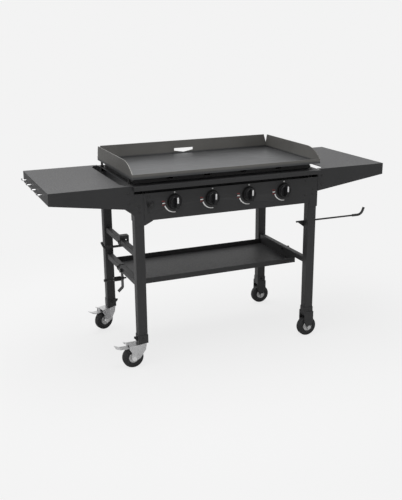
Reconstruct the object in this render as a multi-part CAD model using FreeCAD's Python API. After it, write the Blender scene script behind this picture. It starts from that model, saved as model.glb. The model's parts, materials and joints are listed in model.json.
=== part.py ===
import FreeCAD, Part
import math
import os
from FreeCAD import Vector

# Outdoor gas griddle station: a steel griddle plate over a four-burner box, on four square legs
# with casters, two fixed side shelves and a bottom shelf. Millimetres, +X to the user's right,
# +Y away from the user, +Z up. Everything is laid out about the middle of the four legs on the
# floor, and moved at export so that the origin is below the middle of the whole object.

# Driving sizes of the whole station; most places below are given from these
plate_half_width = 450.0
plate_surface_z = 855.0
stand_depth = 537.0
shelf_half_width = 800.0
tray_floor_z = 344.0
upper_crossbar_z = 511.0
towel_rod_z = 570.0
caster_height = 112.0

# Sheets, tubes and fasteners
leg_size = 42.0
leg_wall = 1.5
leg_corner_radius = 4.0
crossbar_size = 25.0
crossbar_wall = 1.5
bracket_sheet = 2.0
box_sheet = 1.5
panel_sheet = 1.6
shelf_sheet = 1.5
tray_sheet = 1.5
plate_thickness = 4.8
wall_thickness = 4.0
bolt_radius = 3.0
bolt_head_radius = 5.6
bolt_head_height = 2.6
nut_radius = 5.6
nut_thickness = 4.0

# Clearances
hole_clearance = 0.3
running_clearance = 0.05
seat_clearance = 0.05
part_gap = 0.3

# Legs and frame
leg_outer_x = plate_half_width - 8.0
leg_outer_y = stand_depth / 2
leg_x = leg_outer_x - leg_size / 2
leg_y = leg_outer_y - leg_size / 2
leg_inner_x = leg_outer_x - leg_size
leg_inner_y = leg_outer_y - leg_size
lower_crossbar_z = tray_floor_z + 35.0
web_face_y = leg_outer_y + bracket_sheet
shelf_face_y = web_face_y + shelf_sheet
panel_face_y = web_face_y + panel_sheet

# Griddle plate
plate_front_y = -(leg_outer_y + 6.0)
plate_rear_y = leg_outer_y - 13.0
plate_bottom_z = plate_surface_z - plate_thickness
wall_top_z = plate_surface_z + 62.0
lip_top_z = plate_surface_z + 16.0
wall_curve_start_y = plate_front_y + 115.0
corner_notch_width = 16.0
corner_notch_depth = 50.0
drain_slot_x = -12.0
drain_slot_width = 100.0
drain_slot_top_z = plate_surface_z + 24.5
drain_slot_side_height = 12.0
drain_slot_lift = 4.0
chute_length = 34.0
chute_drop = 13.0
chute_sheet = 3.0

# Burner box and its front ledge
rim_half_width = plate_half_width - 2.0
rim_top_z = plate_surface_z - 33.0
rim_bottom_z = rim_top_z - box_sheet
leg_top_z = rim_bottom_z - 20.5
box_half_width = rim_half_width - 24.0
box_front_y = -(leg_outer_y - 48.5)
box_rear_y = leg_outer_y - 48.5
box_top_z = plate_bottom_z - 4.2
box_floor_z = box_top_z - 142.0
ledge_front_y = -(leg_outer_y + 24.0)
ledge_fold_height = 18.0
vent_width = 30.0
vent_height = 9.0
vent_z = box_top_z - 10.0

# Feet of the griddle plate
foot_radius = 9.0
foot_pad_height = 6.0
foot_x = rim_half_width - 10.5
foot_front_y = plate_front_y + 79.5
foot_rear_y = plate_rear_y - 28.0

# Control panel
panel_half_width = leg_inner_x
panel_top_z = rim_top_z - 19.0
panel_bottom_z = panel_top_z - 133.0
panel_return = 22.0
panel_screw_x = leg_inner_x - 20.0
panel_screw_z = (panel_bottom_z + 37.0, panel_top_z - 30.0)

# Leg brackets at the top of the legs
bracket_bottom_z = panel_bottom_z - 20.0
cheek_bottom_z = bracket_bottom_z + 18.0
bracket_wing_lift = 6.0
bracket_wing_bottom_z = bracket_bottom_z + 47.0
bracket_outer_wing = 39.0
bracket_inner_wing = 36.0
bracket_gusset_drop = 17.0
bracket_gusset_rise = 29.0
bracket_slot_width = 9.0
bracket_slot_height = 34.0
pivot_bolt_z = rim_top_z - 89.0
lock_bolt_z = pivot_bolt_z - 24.0

# Burners, valves and gas line
burner_count = 4
burner_pitch = 176.0
burner_x = [burner_pitch * (i - (burner_count - 1) / 2) for i in range(burner_count)]
burner_radius = 16.0
burner_wall = 1.2
burner_front_y = box_front_y - 11.0
burner_rear_y = box_rear_y - 16.0
burner_stud_radius = 4.0
burner_port_radius = 1.4
burner_ports_per_row = 14
burner_port_margin = 40.0
valve_axis_z = panel_bottom_z + 72.0
valve_half_width = 12.0
valve_rear_y = burner_front_y - 1.5
valve_front_y = valve_rear_y - 24.0
valve_top_z = valve_axis_z + 14.0
plug_radius = 7.0
plug_length = 19.5
stem_radius = 4.0
stem_flat = 2.6
stem_socket_depth = 10.0
stem_rest_gap = 4.5
stem_inner_y = valve_front_y + stem_socket_depth - stem_rest_gap
nozzle_radius = 4.0
nozzle_length = 10.0
gas_way_radius = 1.0

# Knobs
bezel_radius = 34.0
bezel_thickness = 3.0
bezel_bore_radius = 9.0
knob_radius = 29.0
knob_skirt_thickness = 5.0
knob_body_radius = 25.0
knob_body_depth = 17.0
knob_grip_width = 13.0
knob_grip_height = 52.0
knob_grip_depth = 37.0
knob_grip_round = 4.0
knob_travel = 3.5
knob_gap = 0.8
knob_back_y = -panel_face_y - bezel_thickness - knob_travel - knob_gap
knob_front_y = knob_back_y - knob_grip_depth

# Igniter
igniter_x = -(leg_inner_x - 32.0)
igniter_z = valve_axis_z - 6.0
igniter_radius = 11.0
igniter_flange_radius = 13.5
igniter_flange_thickness = 2.0
igniter_length = 38.0
igniter_button_radius = 8.0
igniter_button_height = 8.0
igniter_button_travel = 5.0
igniter_block_width = 24.0
igniter_block_height = 22.0
igniter_block_depth = 20.0
lead_radius = 1.5
lead_pitch = 4.0
lead_bend_radius = 5.0
electrode_offset_x = 24.0
electrode_radius = 4.0
electrode_flange_radius = 6.0
electrode_length = 37.0
electrode_wire_radius = 1.2
electrode_wire_length = 15.0
electrode_z = valve_top_z + lead_radius + seat_clearance
electrode_x = [x + electrode_offset_x for x in burner_x]

# Gas manifold behind the panel and its inlet
manifold_radius = 8.0
manifold_wall = 1.5
manifold_y = valve_rear_y - 9.0
manifold_z = valve_axis_z - 26.0
manifold_left_x = igniter_x + 28.0
manifold_right_x = burner_x[-1] + 66.0
inlet_block = 18.0
inlet_radius = 7.9
inlet_length = 15.0
inlet_bore_radius = 4.5
hose_notch_gap = 4.0
inlet_x = manifold_left_x - inlet_block / 2

# Side shelves
shelf_inner_x = plate_half_width + 39.0
shelf_top_z = rim_top_z + 2.0
shelf_outer_flange = 52.0
shelf_root_flange = 102.0
shelf_hem_width = 8.0
shelf_strip_width = 22.0
shelf_opening_chamfer = 32.0
shelf_rib_height = 14.0
shelf_rib_width = 60.0
shelf_rib_inset_x = 150.0
shelf_bolt_x = leg_outer_x + 24.0
shelf_bolt_z = (shelf_top_z - 72.0, shelf_top_z - 32.0)

# Tool hooks on the left shelf
tool_hook_count = 4
tool_hook_first_y = -148.5
tool_hook_pitch = 113.0
tool_hook_z = shelf_top_z - 28.0
tool_hook_radius = 2.8
tool_hook_reach = 25.0
tool_hook_rise = 9.0
tool_hook_bend_radius = 5.0
tool_hook_nut_radius = 5.6
tool_hook_nut_thickness = 3.0

# Bottom shelf
tray_half_width = leg_x - crossbar_size / 2
tray_front_y = -(leg_inner_y - 81.0)
tray_rear_y = leg_inner_y - 6.0
tray_lip_height = 25.0
thumb_screw_y = -16.5
thumb_screw_head_radius = 10.5
thumb_screw_head_thickness = 11.0

# Towel rod on the front right leg
towel_rod_radius = 4.0
towel_rod_inner_x = leg_inner_x - 34.0
towel_rod_bend_x = leg_outer_x + 286.0
towel_rod_sag = 2.0
towel_rod_end_x = towel_rod_bend_x + 13.0
towel_rod_end_z = towel_rod_z + 30.0
towel_rod_bend_radius = 30.0
towel_plate_sheet = 3.0
towel_plate_drop = 30.0
towel_plate_rise = 5.0
towel_rod_y = -leg_inner_y + towel_plate_sheet + towel_rod_radius
towel_tip_radius = 6.0
towel_tip_bore_gap = 0.05
towel_tip_end = 3.0
towel_tip_lead = 30.0

# Tank hook on the upper left crossbar
hook_bracket_front_y = -12.0
hook_bracket_width = 32.0
hook_bracket_sheet = 2.5
hook_bracket_length = 44.0
hook_bracket_outer_x = -leg_x - crossbar_size / 2 - hook_bracket_sheet
hook_bracket_inner_x = hook_bracket_outer_x + hook_bracket_length
hook_bracket_rise = 17.0
hook_rod_inner_x = hook_bracket_inner_x - 6.0
hook_rod_radius = 5.5
hook_rod_reach_x = -(leg_outer_x + 64.0)
hook_rod_bend_radius = 10.0
hook_rod_y = hook_bracket_front_y + hook_bracket_width / 2
hook_rod_z = upper_crossbar_z - crossbar_size / 2 - hook_bracket_sheet - hook_rod_radius
hook_tip_x = hook_rod_reach_x - 12.0
hook_tip_rise = 27.0

# Tank screw on the lower left crossbar
tank_screw_y = 40.0
tank_screw_z = lower_crossbar_z - 59.0
tank_screw_radius = 4.0
tank_screw_travel = 12.0
tank_screw_pitch = 1.25
tank_tongue_width = 30.0
tank_tongue_sheet = 4.0
tank_tongue_x = -(leg_x - 3.0)
tank_boss_length = 5.0
tank_foot_drop = 64.0
tank_foot_reach = 22.0
tank_screw_knob_radius = 11.0
tank_screw_knob_length = 34.0
tank_screw_knob_gap = 6.0
tank_screw_flutes = 8
tank_screw_flute_radius = 2.2
tank_screw_inner_x = tank_tongue_x + tank_tongue_sheet + tank_boss_length + tank_screw_travel
tank_knob_right_x = tank_tongue_x - tank_screw_knob_gap
tank_knob_left_x = tank_knob_right_x - tank_screw_knob_length
tank_pad_radius = 6.5
tank_pad_length = 14.0
tank_pad_tip_x = tank_knob_left_x - 47.0
tank_pad_right_x = tank_pad_tip_x + tank_pad_length

# Leg sockets
socket_sheet = 2.0
socket_bottom_sheet = 3.0
socket_bottom_z = caster_height
leg_bottom_z = socket_bottom_z + socket_bottom_sheet
socket_top_z = leg_bottom_z + 35.0
socket_lug_reach = 14.0
socket_lug_height = 24.0
socket_lug_drop = 8.0
socket_lug_thickness = 4.0

# Wheels
wheel_radius = 47.5
wheel_z = wheel_radius
tyre_half_width = 15.0
tyre_bore_radius = 22.0
tyre_edge_radius = 6.0
hub_half_width = 16.5
hub_flange_radius = 21.0
hub_boss_radius = 9.0
axle_radius = 6.0

# Caster forks
fork_inner_half = leg_size / 2 + socket_sheet
fork_sheet = 2.5
fork_outer_half = fork_inner_half + fork_sheet
caster_trail = 46.0
front_caster_turn = 0.0
rear_caster_turn = 20.0
fork_crown_z = caster_height - 5.5
fork_crown_sheet = 3.0
fork_boss_radius = 13.0
kingpin_radius = 6.0
kingpin_head_radius = 10.0
kingpin_head_thickness = 5.0
fork_rear_reach = 21.0
fork_crease = 22.0
fork_crease_radius = 2.2
fork_crease_depth = 1.2
fork_nose = 62.0
fork_nose_angle = 12.0
fork_eye_radius = 13.0
fixed_fork_top_z = leg_bottom_z + 12.0
fixed_fork_width = 48.0
fixed_fork_web = 3.0

# Brake pedals
pedal_pin_radius = 2.5
pedal_pin_dx = -8.0
pedal_pin_z = fork_crown_z - 5.5
pedal_width = 34.0
pedal_sheet = 2.5

# Grease cup and its rails
cup_front_y = web_face_y + 1.5
cup_rear_y = cup_front_y + 62.0
cup_half_width = 50.0
cup_top_z = rim_top_z - 2.2
cup_depth = 62.0
cup_sheet = 1.2
cup_corner_radius = 8.0
cup_flange_width = 9.0
cup_rail_gap = 0.4
rail_sheet = 1.5
rail_ledge_width = 8.0
rail_height = 22.0
rail_top_z = cup_top_z - cup_sheet - cup_rail_gap

# The origin is on the floor below the middle of the whole object's box
left_reach = shelf_half_width + tool_hook_reach
front_reach = -knob_front_y
origin_x = (shelf_half_width - left_reach) / 2
origin_y = (cup_rear_y - front_reach) / 2


def box(x0, x1, y0, y1, z0, z1):
    return Part.makeBox(x1 - x0, y1 - y0, z1 - z0, Vector(x0, y0, z0))


def rod(radius, start, end):
    a = Vector(*start)
    b = Vector(*end)
    return Part.makeCylinder(radius, (b - a).Length, a, b - a)


def fuse(shapes):
    return shapes[0].multiFuse(shapes[1:]).removeSplitter()


def edges_along(shape, direction):
    """Straight edges of a shape that run parallel to a direction."""
    d = Vector(*direction)
    straight = [e for e in shape.Edges if isinstance(e.Curve, Part.Line)]
    return [e for e in straight if e.Curve.Direction.cross(d).Length < 1e-6]


def prism(points, depth):
    corners = [Vector(*p) for p in points]
    face = Part.Face(Part.makePolygon(corners + [corners[0]]))
    return face.extrude(Vector(*depth))


def prism_y(points, y0, y1):
    return prism([(x, y0, z) for x, z in points], (0, y1 - y0, 0))


def prism_z(points, z0, z1):
    return prism([(x, y, z0) for x, y in points], (0, 0, z1 - z0))


def mirror_x(shape):
    return shape.mirror(Vector(0, 0, 0), Vector(1, 0, 0))


def mirror_y(shape):
    return shape.mirror(Vector(0, 0, 0), Vector(0, 1, 0))


def bent_rod(points, radius, bend_radius):
    """Round bar along straight runs joined by tangent arcs."""
    nodes = [Vector(*p) for p in points]
    edges = []
    start = nodes[0]
    for before, corner, after in zip(nodes, nodes[1:], nodes[2:]):
        into = (corner - before).normalize()
        out = (after - corner).normalize()
        half_turn = into.getAngle(out) / 2
        setback = bend_radius * math.tan(half_turn)
        first = corner - into * setback
        last = corner + out * setback
        inward = (out - into).normalize()
        middle = corner + inward * (bend_radius / math.cos(half_turn) - bend_radius)
        edges.append(Part.LineSegment(start, first).toShape())
        edges.append(Part.Arc(first, middle, last).toShape())
        start = last
    edges.append(Part.LineSegment(start, nodes[-1]).toShape())
    path = Part.Wire(edges)
    circle = Part.Circle(nodes[0], nodes[1] - nodes[0], radius).toShape()
    return path.makePipeShell([Part.Wire([circle])], True, False)


def strip(points, thickness, y0, y1):
    """Bent sheet strip whose edge follows points in the XZ plane."""
    pieces = []
    for (xa, za), (xb, zb) in zip(points, points[1:]):
        length = math.hypot(xb - xa, zb - za)
        nx = -(zb - za) / length * thickness / 2
        nz = (xb - xa) / length * thickness / 2
        corners = [(xa + nx, za + nz), (xb + nx, zb + nz), (xb - nx, zb - nz), (xa - nx, za - nz)]
        pieces.append(prism_y(corners, y0, y1))
    for x, z in points[1:-1]:
        pieces.append(rod(thickness / 2, (x, y0, z), (x, y1, z)))
    return fuse(pieces)


def square_bar(size, corner_radius, z0, z1):
    """Upright square bar about the Z axis with rounded corners."""
    solid = box(-size / 2, size / 2, -size / 2, size / 2, z0, z1)
    return solid.makeFillet(corner_radius, edges_along(solid, (0, 0, 1)))


def square_tube(size, wall, corner_radius, length):
    outside = square_bar(size, corner_radius, 0, length)
    return outside.cut(square_bar(size - 2 * wall, corner_radius - wall, 0, length))


def turned(profile, centre):
    """Solid of revolution about a line along Y through centre; profile holds (radius, y) points."""
    cx, cy, cz = centre
    corners = [Vector(cx + r, cy + y, cz) for r, y in profile]
    face = Part.Face(Part.makePolygon(corners + [corners[0]]))
    return face.revolve(Vector(cx, cy, cz), Vector(0, 1, 0), 360)


# Fasteners: each is a head seat, a direction along the shank and the thickness that it grips

def fastener_places():
    places = []
    for side in (-1, 1):
        for end in (-1, 1):
            x = side * leg_x
            for z in (pivot_bolt_z, lock_bolt_z):
                places.append(((x, end * web_face_y, z), (0, -end, 0), leg_size + bracket_sheet))
            rim_grip = box_sheet + bracket_sheet
            places.append(((x, end * leg_y, rim_top_z), (0, 0, -1), rim_grip))
            for z in shelf_bolt_z:
                grip = bracket_sheet + shelf_sheet
                places.append(((side * shelf_bolt_x, end * shelf_face_y, z), (0, -end, 0), grip))
            socket_face = leg_y + leg_size / 2 + socket_sheet
            socket_mid_z = (fixed_fork_top_z + socket_top_z) / 2
            grip = leg_size + 2 * socket_sheet
            places.append(((x, end * socket_face, socket_mid_z), (0, -end, 0), grip))
        for z in panel_screw_z:
            grip = panel_sheet + bracket_sheet
            places.append(((side * panel_screw_x, -panel_face_y, z), (0, 1, 0), grip))
    plate_z = towel_rod_z - towel_plate_drop / 2
    for x in (leg_x - leg_size / 4, leg_x + leg_size / 4):
        grip = towel_plate_sheet + leg_wall
        places.append(((x, -leg_inner_y + towel_plate_sheet, plate_z), (0, -1, 0), grip))
    outer_x = hook_bracket_outer_x
    grip = hook_bracket_inner_x - outer_x
    places.append(((hook_bracket_inner_x, hook_rod_y, upper_crossbar_z), (-1, 0, 0), grip))
    grip = -tray_half_width + tray_sheet - outer_x
    places.append(((-tray_half_width + tray_sheet, tank_screw_y, lower_crossbar_z), (-1, 0, 0), grip))
    for side in (-1, 1):
        x = drain_slot_x + side * cup_half_width * 0.8
        z = rail_top_z - rail_height - bolt_head_radius
        places.append(((x, box_rear_y + rail_sheet, z), (0, -1, 0), rail_sheet + box_sheet))
    return places


def fastener(place):
    """Domed bolt and its nut."""
    seat, direction, grip = place
    a = Vector(*seat)
    d = Vector(*direction)
    shank = Part.makeCylinder(bolt_radius, grip + nut_thickness + 1.5, a, d)
    rim = Part.makeCylinder(bolt_head_radius, bolt_head_height / 2, a, d * -1)
    dome_seat = a - d * (bolt_head_height / 2)
    half_height = bolt_head_height / 2
    dome = Part.makeCone(bolt_head_radius, bolt_head_radius / 2, half_height, dome_seat, d * -1)
    nut_seat = a + d * grip
    nut = hexagon(nut_radius, nut_thickness, nut_seat, d)
    nut = nut.cut(Part.makeCylinder(bolt_radius + seat_clearance, nut_thickness, nut_seat, d))
    return [fuse([shank, rim, dome]), nut]


def hexagon(radius, height, base, direction):
    """Hexagonal prism from base along direction; radius is to the corners."""
    turn = FreeCAD.Rotation(Vector(0, 0, 1), direction)
    corners = []
    for k in range(6):
        angle = math.radians(60 * k)
        spoke = Vector(radius * math.cos(angle), radius * math.sin(angle), 0)
        corners.append(base + turn.multVec(spoke))
    face = Part.Face(Part.makePolygon(corners + [corners[0]]))
    return face.extrude(direction * height)


def fastener_holes():
    holes = []
    for seat, direction, grip in fastener_places():
        a = Vector(*seat)
        d = Vector(*direction)
        holes.append(Part.makeCylinder(bolt_radius + hole_clearance, grip, a, d))
    return holes


def drilled(shape, extra=()):
    tools = [h for h in fastener_holes() if h.BoundBox.intersect(shape.BoundBox)]
    return shape.cut(tools + list(extra)) if tools or extra else shape


# Frame

def leg(side, end):
    tube = square_tube(leg_size, leg_wall, leg_corner_radius, leg_top_z - leg_bottom_z)
    tube.translate(Vector(side * leg_x, end * leg_y, leg_bottom_z))
    return drilled(tube)


def crossbars():
    length = 2 * leg_inner_y
    bars = []
    for x, z in ((-leg_x, upper_crossbar_z), (-leg_x, lower_crossbar_z), (leg_x, lower_crossbar_z)):
        bar = square_tube(crossbar_size, crossbar_wall, crossbar_wall * 1.6, length)
        bar.rotate(Vector(0, 0, 0), Vector(1, 0, 0), -90)
        bar.translate(Vector(x, -leg_inner_y, z))
        bars.append(drilled(bar, [thumb_screw_hole(1), thumb_screw_hole(-1)]))
    return Part.makeCompound(bars)


def leg_bracket(side, end):
    """Channel round the top of a leg, with wings that carry the panel and the shelf flange."""
    sheet = bracket_sheet
    outer = leg_outer_x + sheet
    inner = leg_inner_x - sheet
    wing = outer + bracket_outer_wing
    top = rim_bottom_z
    outline = [(outer, bracket_bottom_z), (outer, bracket_wing_bottom_z)]
    outline += [(wing, bracket_wing_bottom_z + bracket_gusset_rise), (wing, top)]
    if side > 0 or end > 0:
        hidden = shelf_top_z - shelf_root_flange + bracket_wing_lift
        outline = [(outer, bracket_bottom_z), (outer, hidden), (wing, hidden), (wing, top)]
    inner_wing = inner - bracket_inner_wing
    gusset_z = bracket_bottom_z + bracket_gusset_drop
    slot_top = bracket_bottom_z + bracket_slot_height
    if end > 0:
        outline += [(inner, top), (inner, bracket_bottom_z)]
    elif side < 0:
        outline += [(inner_wing, top), (inner_wing, gusset_z), (inner, bracket_bottom_z)]
    else:
        slot_x = inner + bracket_slot_width / 2
        outline += [(inner_wing, top), (inner_wing, slot_top), (slot_x, slot_top), (slot_x, bracket_bottom_z)]
    web = prism_y(outline, -web_face_y, -leg_outer_y)
    cheeks = [box(leg_outer_x, outer, -leg_outer_y, -leg_inner_y, cheek_bottom_z, top)]
    cheeks += [box(inner, leg_inner_x, -leg_outer_y, -leg_inner_y, cheek_bottom_z, top)]
    tab = box(inner, outer, -leg_outer_y, -leg_inner_y, top - sheet, top)
    bracket = fuse([web, tab] + cheeks)
    if end > 0:
        bracket = mirror_y(bracket)
    if side < 0:
        bracket = mirror_x(bracket)
    extra = [igniter_hole()] if side < 0 and end < 0 else []
    return drilled(bracket, extra)


def leg_brackets():
    return Part.makeCompound([leg_bracket(s, e) for s in (-1, 1) for e in (-1, 1)])


def leg_socket(side, end):
    """Sleeve and base plate at the foot of a leg, with its lug and, on the left, the kingpin."""
    half = leg_size / 2
    outer = half + socket_sheet
    shell = box(-outer, outer, -outer, outer, socket_bottom_z, socket_top_z)
    shell = shell.makeFillet(leg_corner_radius, edges_along(shell, (0, 0, 1)))
    hollow = square_bar(leg_size + 2 * seat_clearance, leg_corner_radius, leg_bottom_z, socket_top_z)
    shell = shell.cut(hollow)
    lug_top = socket_top_z - socket_lug_drop
    lug_end = outer + socket_lug_reach
    lug_outline = [(outer - 1, lug_top), (lug_end, lug_top), (lug_end, lug_top - socket_lug_height / 3)]
    lug_outline.append((outer - 1, lug_top - socket_lug_height))
    lug = prism_y(lug_outline, -socket_lug_thickness / 2, socket_lug_thickness / 2)
    if end < 0:
        lug = mirror_x(lug)
    shapes = [shell]
    if side < 0:
        shapes.append(lug)
        head_top = fork_crown_z - part_gap
        pin = rod(kingpin_radius, (0, 0, head_top), (0, 0, socket_bottom_z + 1))
        head = rod(kingpin_head_radius, (0, 0, head_top - kingpin_head_thickness), (0, 0, head_top))
        shapes += [pin, head]
    socket = fuse(shapes)
    socket.translate(Vector(side * leg_x, end * leg_y, 0))
    return drilled(socket)


def leg_sockets():
    return Part.makeCompound([leg_socket(s, e) for s in (-1, 1) for e in (-1, 1)])


# Burner box and panel

def burner_hole(x):
    radius = burner_radius + seat_clearance
    return rod(radius, (x, box_front_y - 1, valve_axis_z), (x, box_front_y + box_sheet + 1, valve_axis_z))


def oval_vent(x, y0, y1):
    half = (vent_width - vent_height) / 2
    middle = box(x - half, x + half, y0, y1, vent_z - vent_height / 2, vent_z + vent_height / 2)
    ends = [rod(vent_height / 2, (x + s * half, y0, vent_z), (x + s * half, y1, vent_z)) for s in (-1, 1)]
    return fuse([middle] + ends)


def burner_box():
    w = box_half_width
    outer = box(-w, w, box_front_y, box_rear_y, box_floor_z, box_top_z)
    rim = box(-rim_half_width, rim_half_width, ledge_front_y, web_face_y, rim_bottom_z, rim_top_z)
    fold = box(-rim_half_width, rim_half_width, ledge_front_y, ledge_front_y + box_sheet,
               rim_top_z - ledge_fold_height, rim_top_z)
    s = box_sheet
    hollow = box(-w + s, w - s, box_front_y + s, box_rear_y - s, box_floor_z + s, box_top_z)
    shell = fuse([outer, rim, fold]).cut(hollow)
    cuts = []
    for x in burner_x:
        cuts.append(burner_hole(x))
        cuts.append(oval_vent(x, box_front_y - 1, box_front_y + s + 1))
        cuts.append(oval_vent(x, box_rear_y - s - 1, box_rear_y + 1))
        stud = burner_stud_radius + seat_clearance
        cuts.append(rod(stud, (x, box_rear_y - s - 1, valve_axis_z), (x, box_rear_y + 1, valve_axis_z)))
    for x in electrode_x:
        hole = electrode_radius + seat_clearance
        cuts.append(rod(hole, (x, box_front_y - 1, electrode_z), (x, box_front_y + s + 1, electrode_z)))
    return drilled(shell, cuts)


def igniter_hole():
    radius = igniter_radius + seat_clearance
    return rod(radius, (igniter_x, -panel_face_y - 1, igniter_z), (igniter_x, -leg_outer_y + 1, igniter_z))


def control_panel():
    w = panel_half_width
    back = -web_face_y + panel_return
    face = box(-w, w, -panel_face_y, -web_face_y, panel_bottom_z, panel_top_z)
    fold_half = w - bracket_inner_wing - bracket_sheet * 2 - (w - panel_screw_x) / 2
    bottom = box(-fold_half, fold_half, -web_face_y, back, panel_bottom_z, panel_bottom_z + panel_sheet)
    top = box(-fold_half, fold_half, -web_face_y, back, panel_top_z - panel_sheet, panel_top_z)
    sheet = fuse([face, bottom, top])
    notch_x = inlet_x + inlet_radius + hose_notch_gap
    notch_y = manifold_y - inlet_radius - hose_notch_gap
    fold_top_z = panel_bottom_z + panel_sheet
    notch = box(-fold_half - 1, notch_x, notch_y, back + 1, panel_bottom_z - 1, fold_top_z + 1)
    cuts = [igniter_hole(), notch]
    for x in burner_x:
        start = (x, -panel_face_y - 1, valve_axis_z)
        cuts.append(rod(bezel_bore_radius, start, (x, -web_face_y + 1, valve_axis_z)))
    return drilled(sheet, cuts)


def knob_bezels():
    rings = []
    for x in burner_x:
        back = -panel_face_y
        front = back - bezel_thickness
        ring = rod(bezel_radius, (x, back, valve_axis_z), (x, front, valve_axis_z))
        rim = max(ring.Edges, key=lambda e: -e.BoundBox.YMin + e.BoundBox.XLength / 1000)
        ring = ring.makeChamfer(bezel_thickness * 0.5, [rim])
        bore = rod(bezel_bore_radius, (x, back + 1, valve_axis_z), (x, front - 1, valve_axis_z))
        rings.append(ring.cut(bore))
    return Part.makeCompound(rings)


# Gas line, valves and knobs

def gas_manifold():
    """Pipe behind the panel with a plugged right end and a downward flare inlet at the left."""
    y, z = manifold_y, manifold_z
    pipe = rod(manifold_radius, (manifold_left_x, y, z), (manifold_right_x, y, z))
    bore_radius = manifold_radius - manifold_wall
    bore = rod(bore_radius, (manifold_left_x - 1, y, z), (manifold_right_x - 8, y, z))
    half = inlet_block / 2
    block_left_x = manifold_left_x - inlet_block
    block = box(block_left_x, manifold_left_x, y - half, y + half, z - half, z + half)
    thread = rod(inlet_radius, (inlet_x, y, z - half), (inlet_x, y, z - half - inlet_length))
    way = rod(inlet_bore_radius, (inlet_x, y, z), (inlet_x, y, z - half - inlet_length - 1))
    across = rod(inlet_bore_radius, (inlet_x, y, z), (manifold_left_x + 1, y, z))
    return fuse([pipe, block, thread]).cut([bore, way, across])


def valve_bodies():
    bodies = []
    for x in burner_x:
        w = valve_half_width
        block = box(x - w, x + w, valve_front_y, valve_rear_y, manifold_z - 2, valve_top_z)
        nozzle_end = (x, valve_rear_y + nozzle_length, valve_axis_z)
        nozzle = rod(nozzle_radius, (x, valve_rear_y, valve_axis_z), nozzle_end)
        plug_bore = rod(plug_radius + running_clearance, (x, valve_front_y - 1, valve_axis_z),
                        (x, valve_front_y + plug_length + part_gap, valve_axis_z))
        gas_way = rod(gas_way_radius, (x, valve_front_y + plug_length, valve_axis_z),
                      (x, valve_rear_y + nozzle_length + 1, valve_axis_z))
        saddle = rod(manifold_radius + seat_clearance, (x - w - 1, manifold_y, manifold_z),
                     (x + w + 1, manifold_y, manifold_z))
        bodies.append(fuse([block, nozzle]).cut([plug_bore, gas_way, saddle]))
    return Part.makeCompound(bodies)


def d_rod(radius, flat, x, y0, y1):
    """Round bar along Y with one flat on its upper side."""
    bar = rod(radius, (x, y0, valve_axis_z), (x, y1, valve_axis_z))
    low = valve_axis_z + flat
    waste = box(x - radius, x + radius, min(y0, y1), max(y0, y1), low, low + radius)
    return bar.cut(waste)


def valve_plug(x):
    front = valve_front_y + seat_clearance
    plug = rod(plug_radius, (x, front, valve_axis_z), (x, front + plug_length, valve_axis_z))
    socket = d_rod(stem_radius + running_clearance, stem_flat + running_clearance, x, front - 1,
                   valve_front_y + stem_socket_depth)
    back = valve_front_y + plug_length + 1
    way_start = (x, valve_front_y + stem_socket_depth, valve_axis_z)
    gas_way = rod(gas_way_radius, way_start, (x, back, valve_axis_z))
    return plug.cut([socket, gas_way])


def valve_stem(x):
    return d_rod(stem_radius, stem_flat, x, knob_back_y - knob_body_depth + 2, stem_inner_y)


def knob(x):
    """Round skirt and drum with a straight grip bar across the front, pointer end up."""
    z = valve_axis_z
    back = knob_back_y
    skirt_front = back - knob_skirt_thickness
    drum_front = back - knob_body_depth
    skirt = rod(knob_radius, (x, back, z), (x, skirt_front, z))
    drum = Part.makeCone(knob_radius - 1.5, knob_body_radius, knob_body_depth - knob_skirt_thickness,
                         Vector(x, skirt_front, z), Vector(0, -1, 0))
    half = knob_grip_width / 2
    high = knob_grip_height / 2
    front_y = back - knob_grip_depth
    grip = box(x - half, x + half, front_y, drum_front + 1, z - high, z + high)
    grip = grip.makeFillet(knob_grip_round, edges_along(grip, (0, 1, 0)))
    grip = grip.makeFillet(knob_grip_round / 2, [e for e in grip.Edges if e.BoundBox.YMax < front_y + 0.01])
    solid = fuse([skirt, drum, grip])
    bore = d_rod(stem_radius + seat_clearance, stem_flat + seat_clearance, x, back + 1,
                 drum_front + 2 - seat_clearance)
    return solid.cut(bore)


def burners():
    tubes = []
    for x in burner_x:
        z = valve_axis_z
        tube = rod(burner_radius, (x, burner_front_y, z), (x, burner_rear_y, z))
        bore = rod(burner_radius - burner_wall, (x, burner_front_y - 1, z), (x, burner_rear_y - 2, z))
        stud = rod(burner_stud_radius, (x, burner_rear_y - 1, z), (x, box_rear_y + 4, z))
        ports = []
        first = box_front_y + burner_port_margin
        step = (burner_rear_y - burner_port_margin - first) / (burner_ports_per_row - 1)
        for k in range(burner_ports_per_row):
            y = first + k * step
            for lean in (-1, 1):
                end = (x + lean * burner_radius * 1.2, y, z + burner_radius * 1.2)
                ports.append(rod(burner_port_radius, (x, y, z), end))
        tubes.append(tube.cut([bore] + ports).fuse(stud).removeSplitter())
    return Part.makeCompound(tubes)


# Igniter

def igniter_housing():
    x, z = igniter_x, igniter_z
    back = -panel_face_y + igniter_length
    barrel = rod(igniter_radius, (x, -panel_face_y, z), (x, back, z))
    flange_end = (x, -panel_face_y - igniter_flange_thickness, z)
    flange = rod(igniter_flange_radius, (x, -panel_face_y, z), flange_end)
    half = igniter_block_width / 2
    low = z + igniter_radius - 2
    block = box(x - half, x + half, back - igniter_block_depth, back, low, low + igniter_block_height)
    well_end = (x, -panel_face_y + igniter_button_height + igniter_button_travel, z)
    well_radius = igniter_button_radius + running_clearance
    well = rod(well_radius, (x, -panel_face_y - igniter_flange_thickness - 1, z), well_end)
    return fuse([barrel, flange, block]).cut(well)


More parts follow.
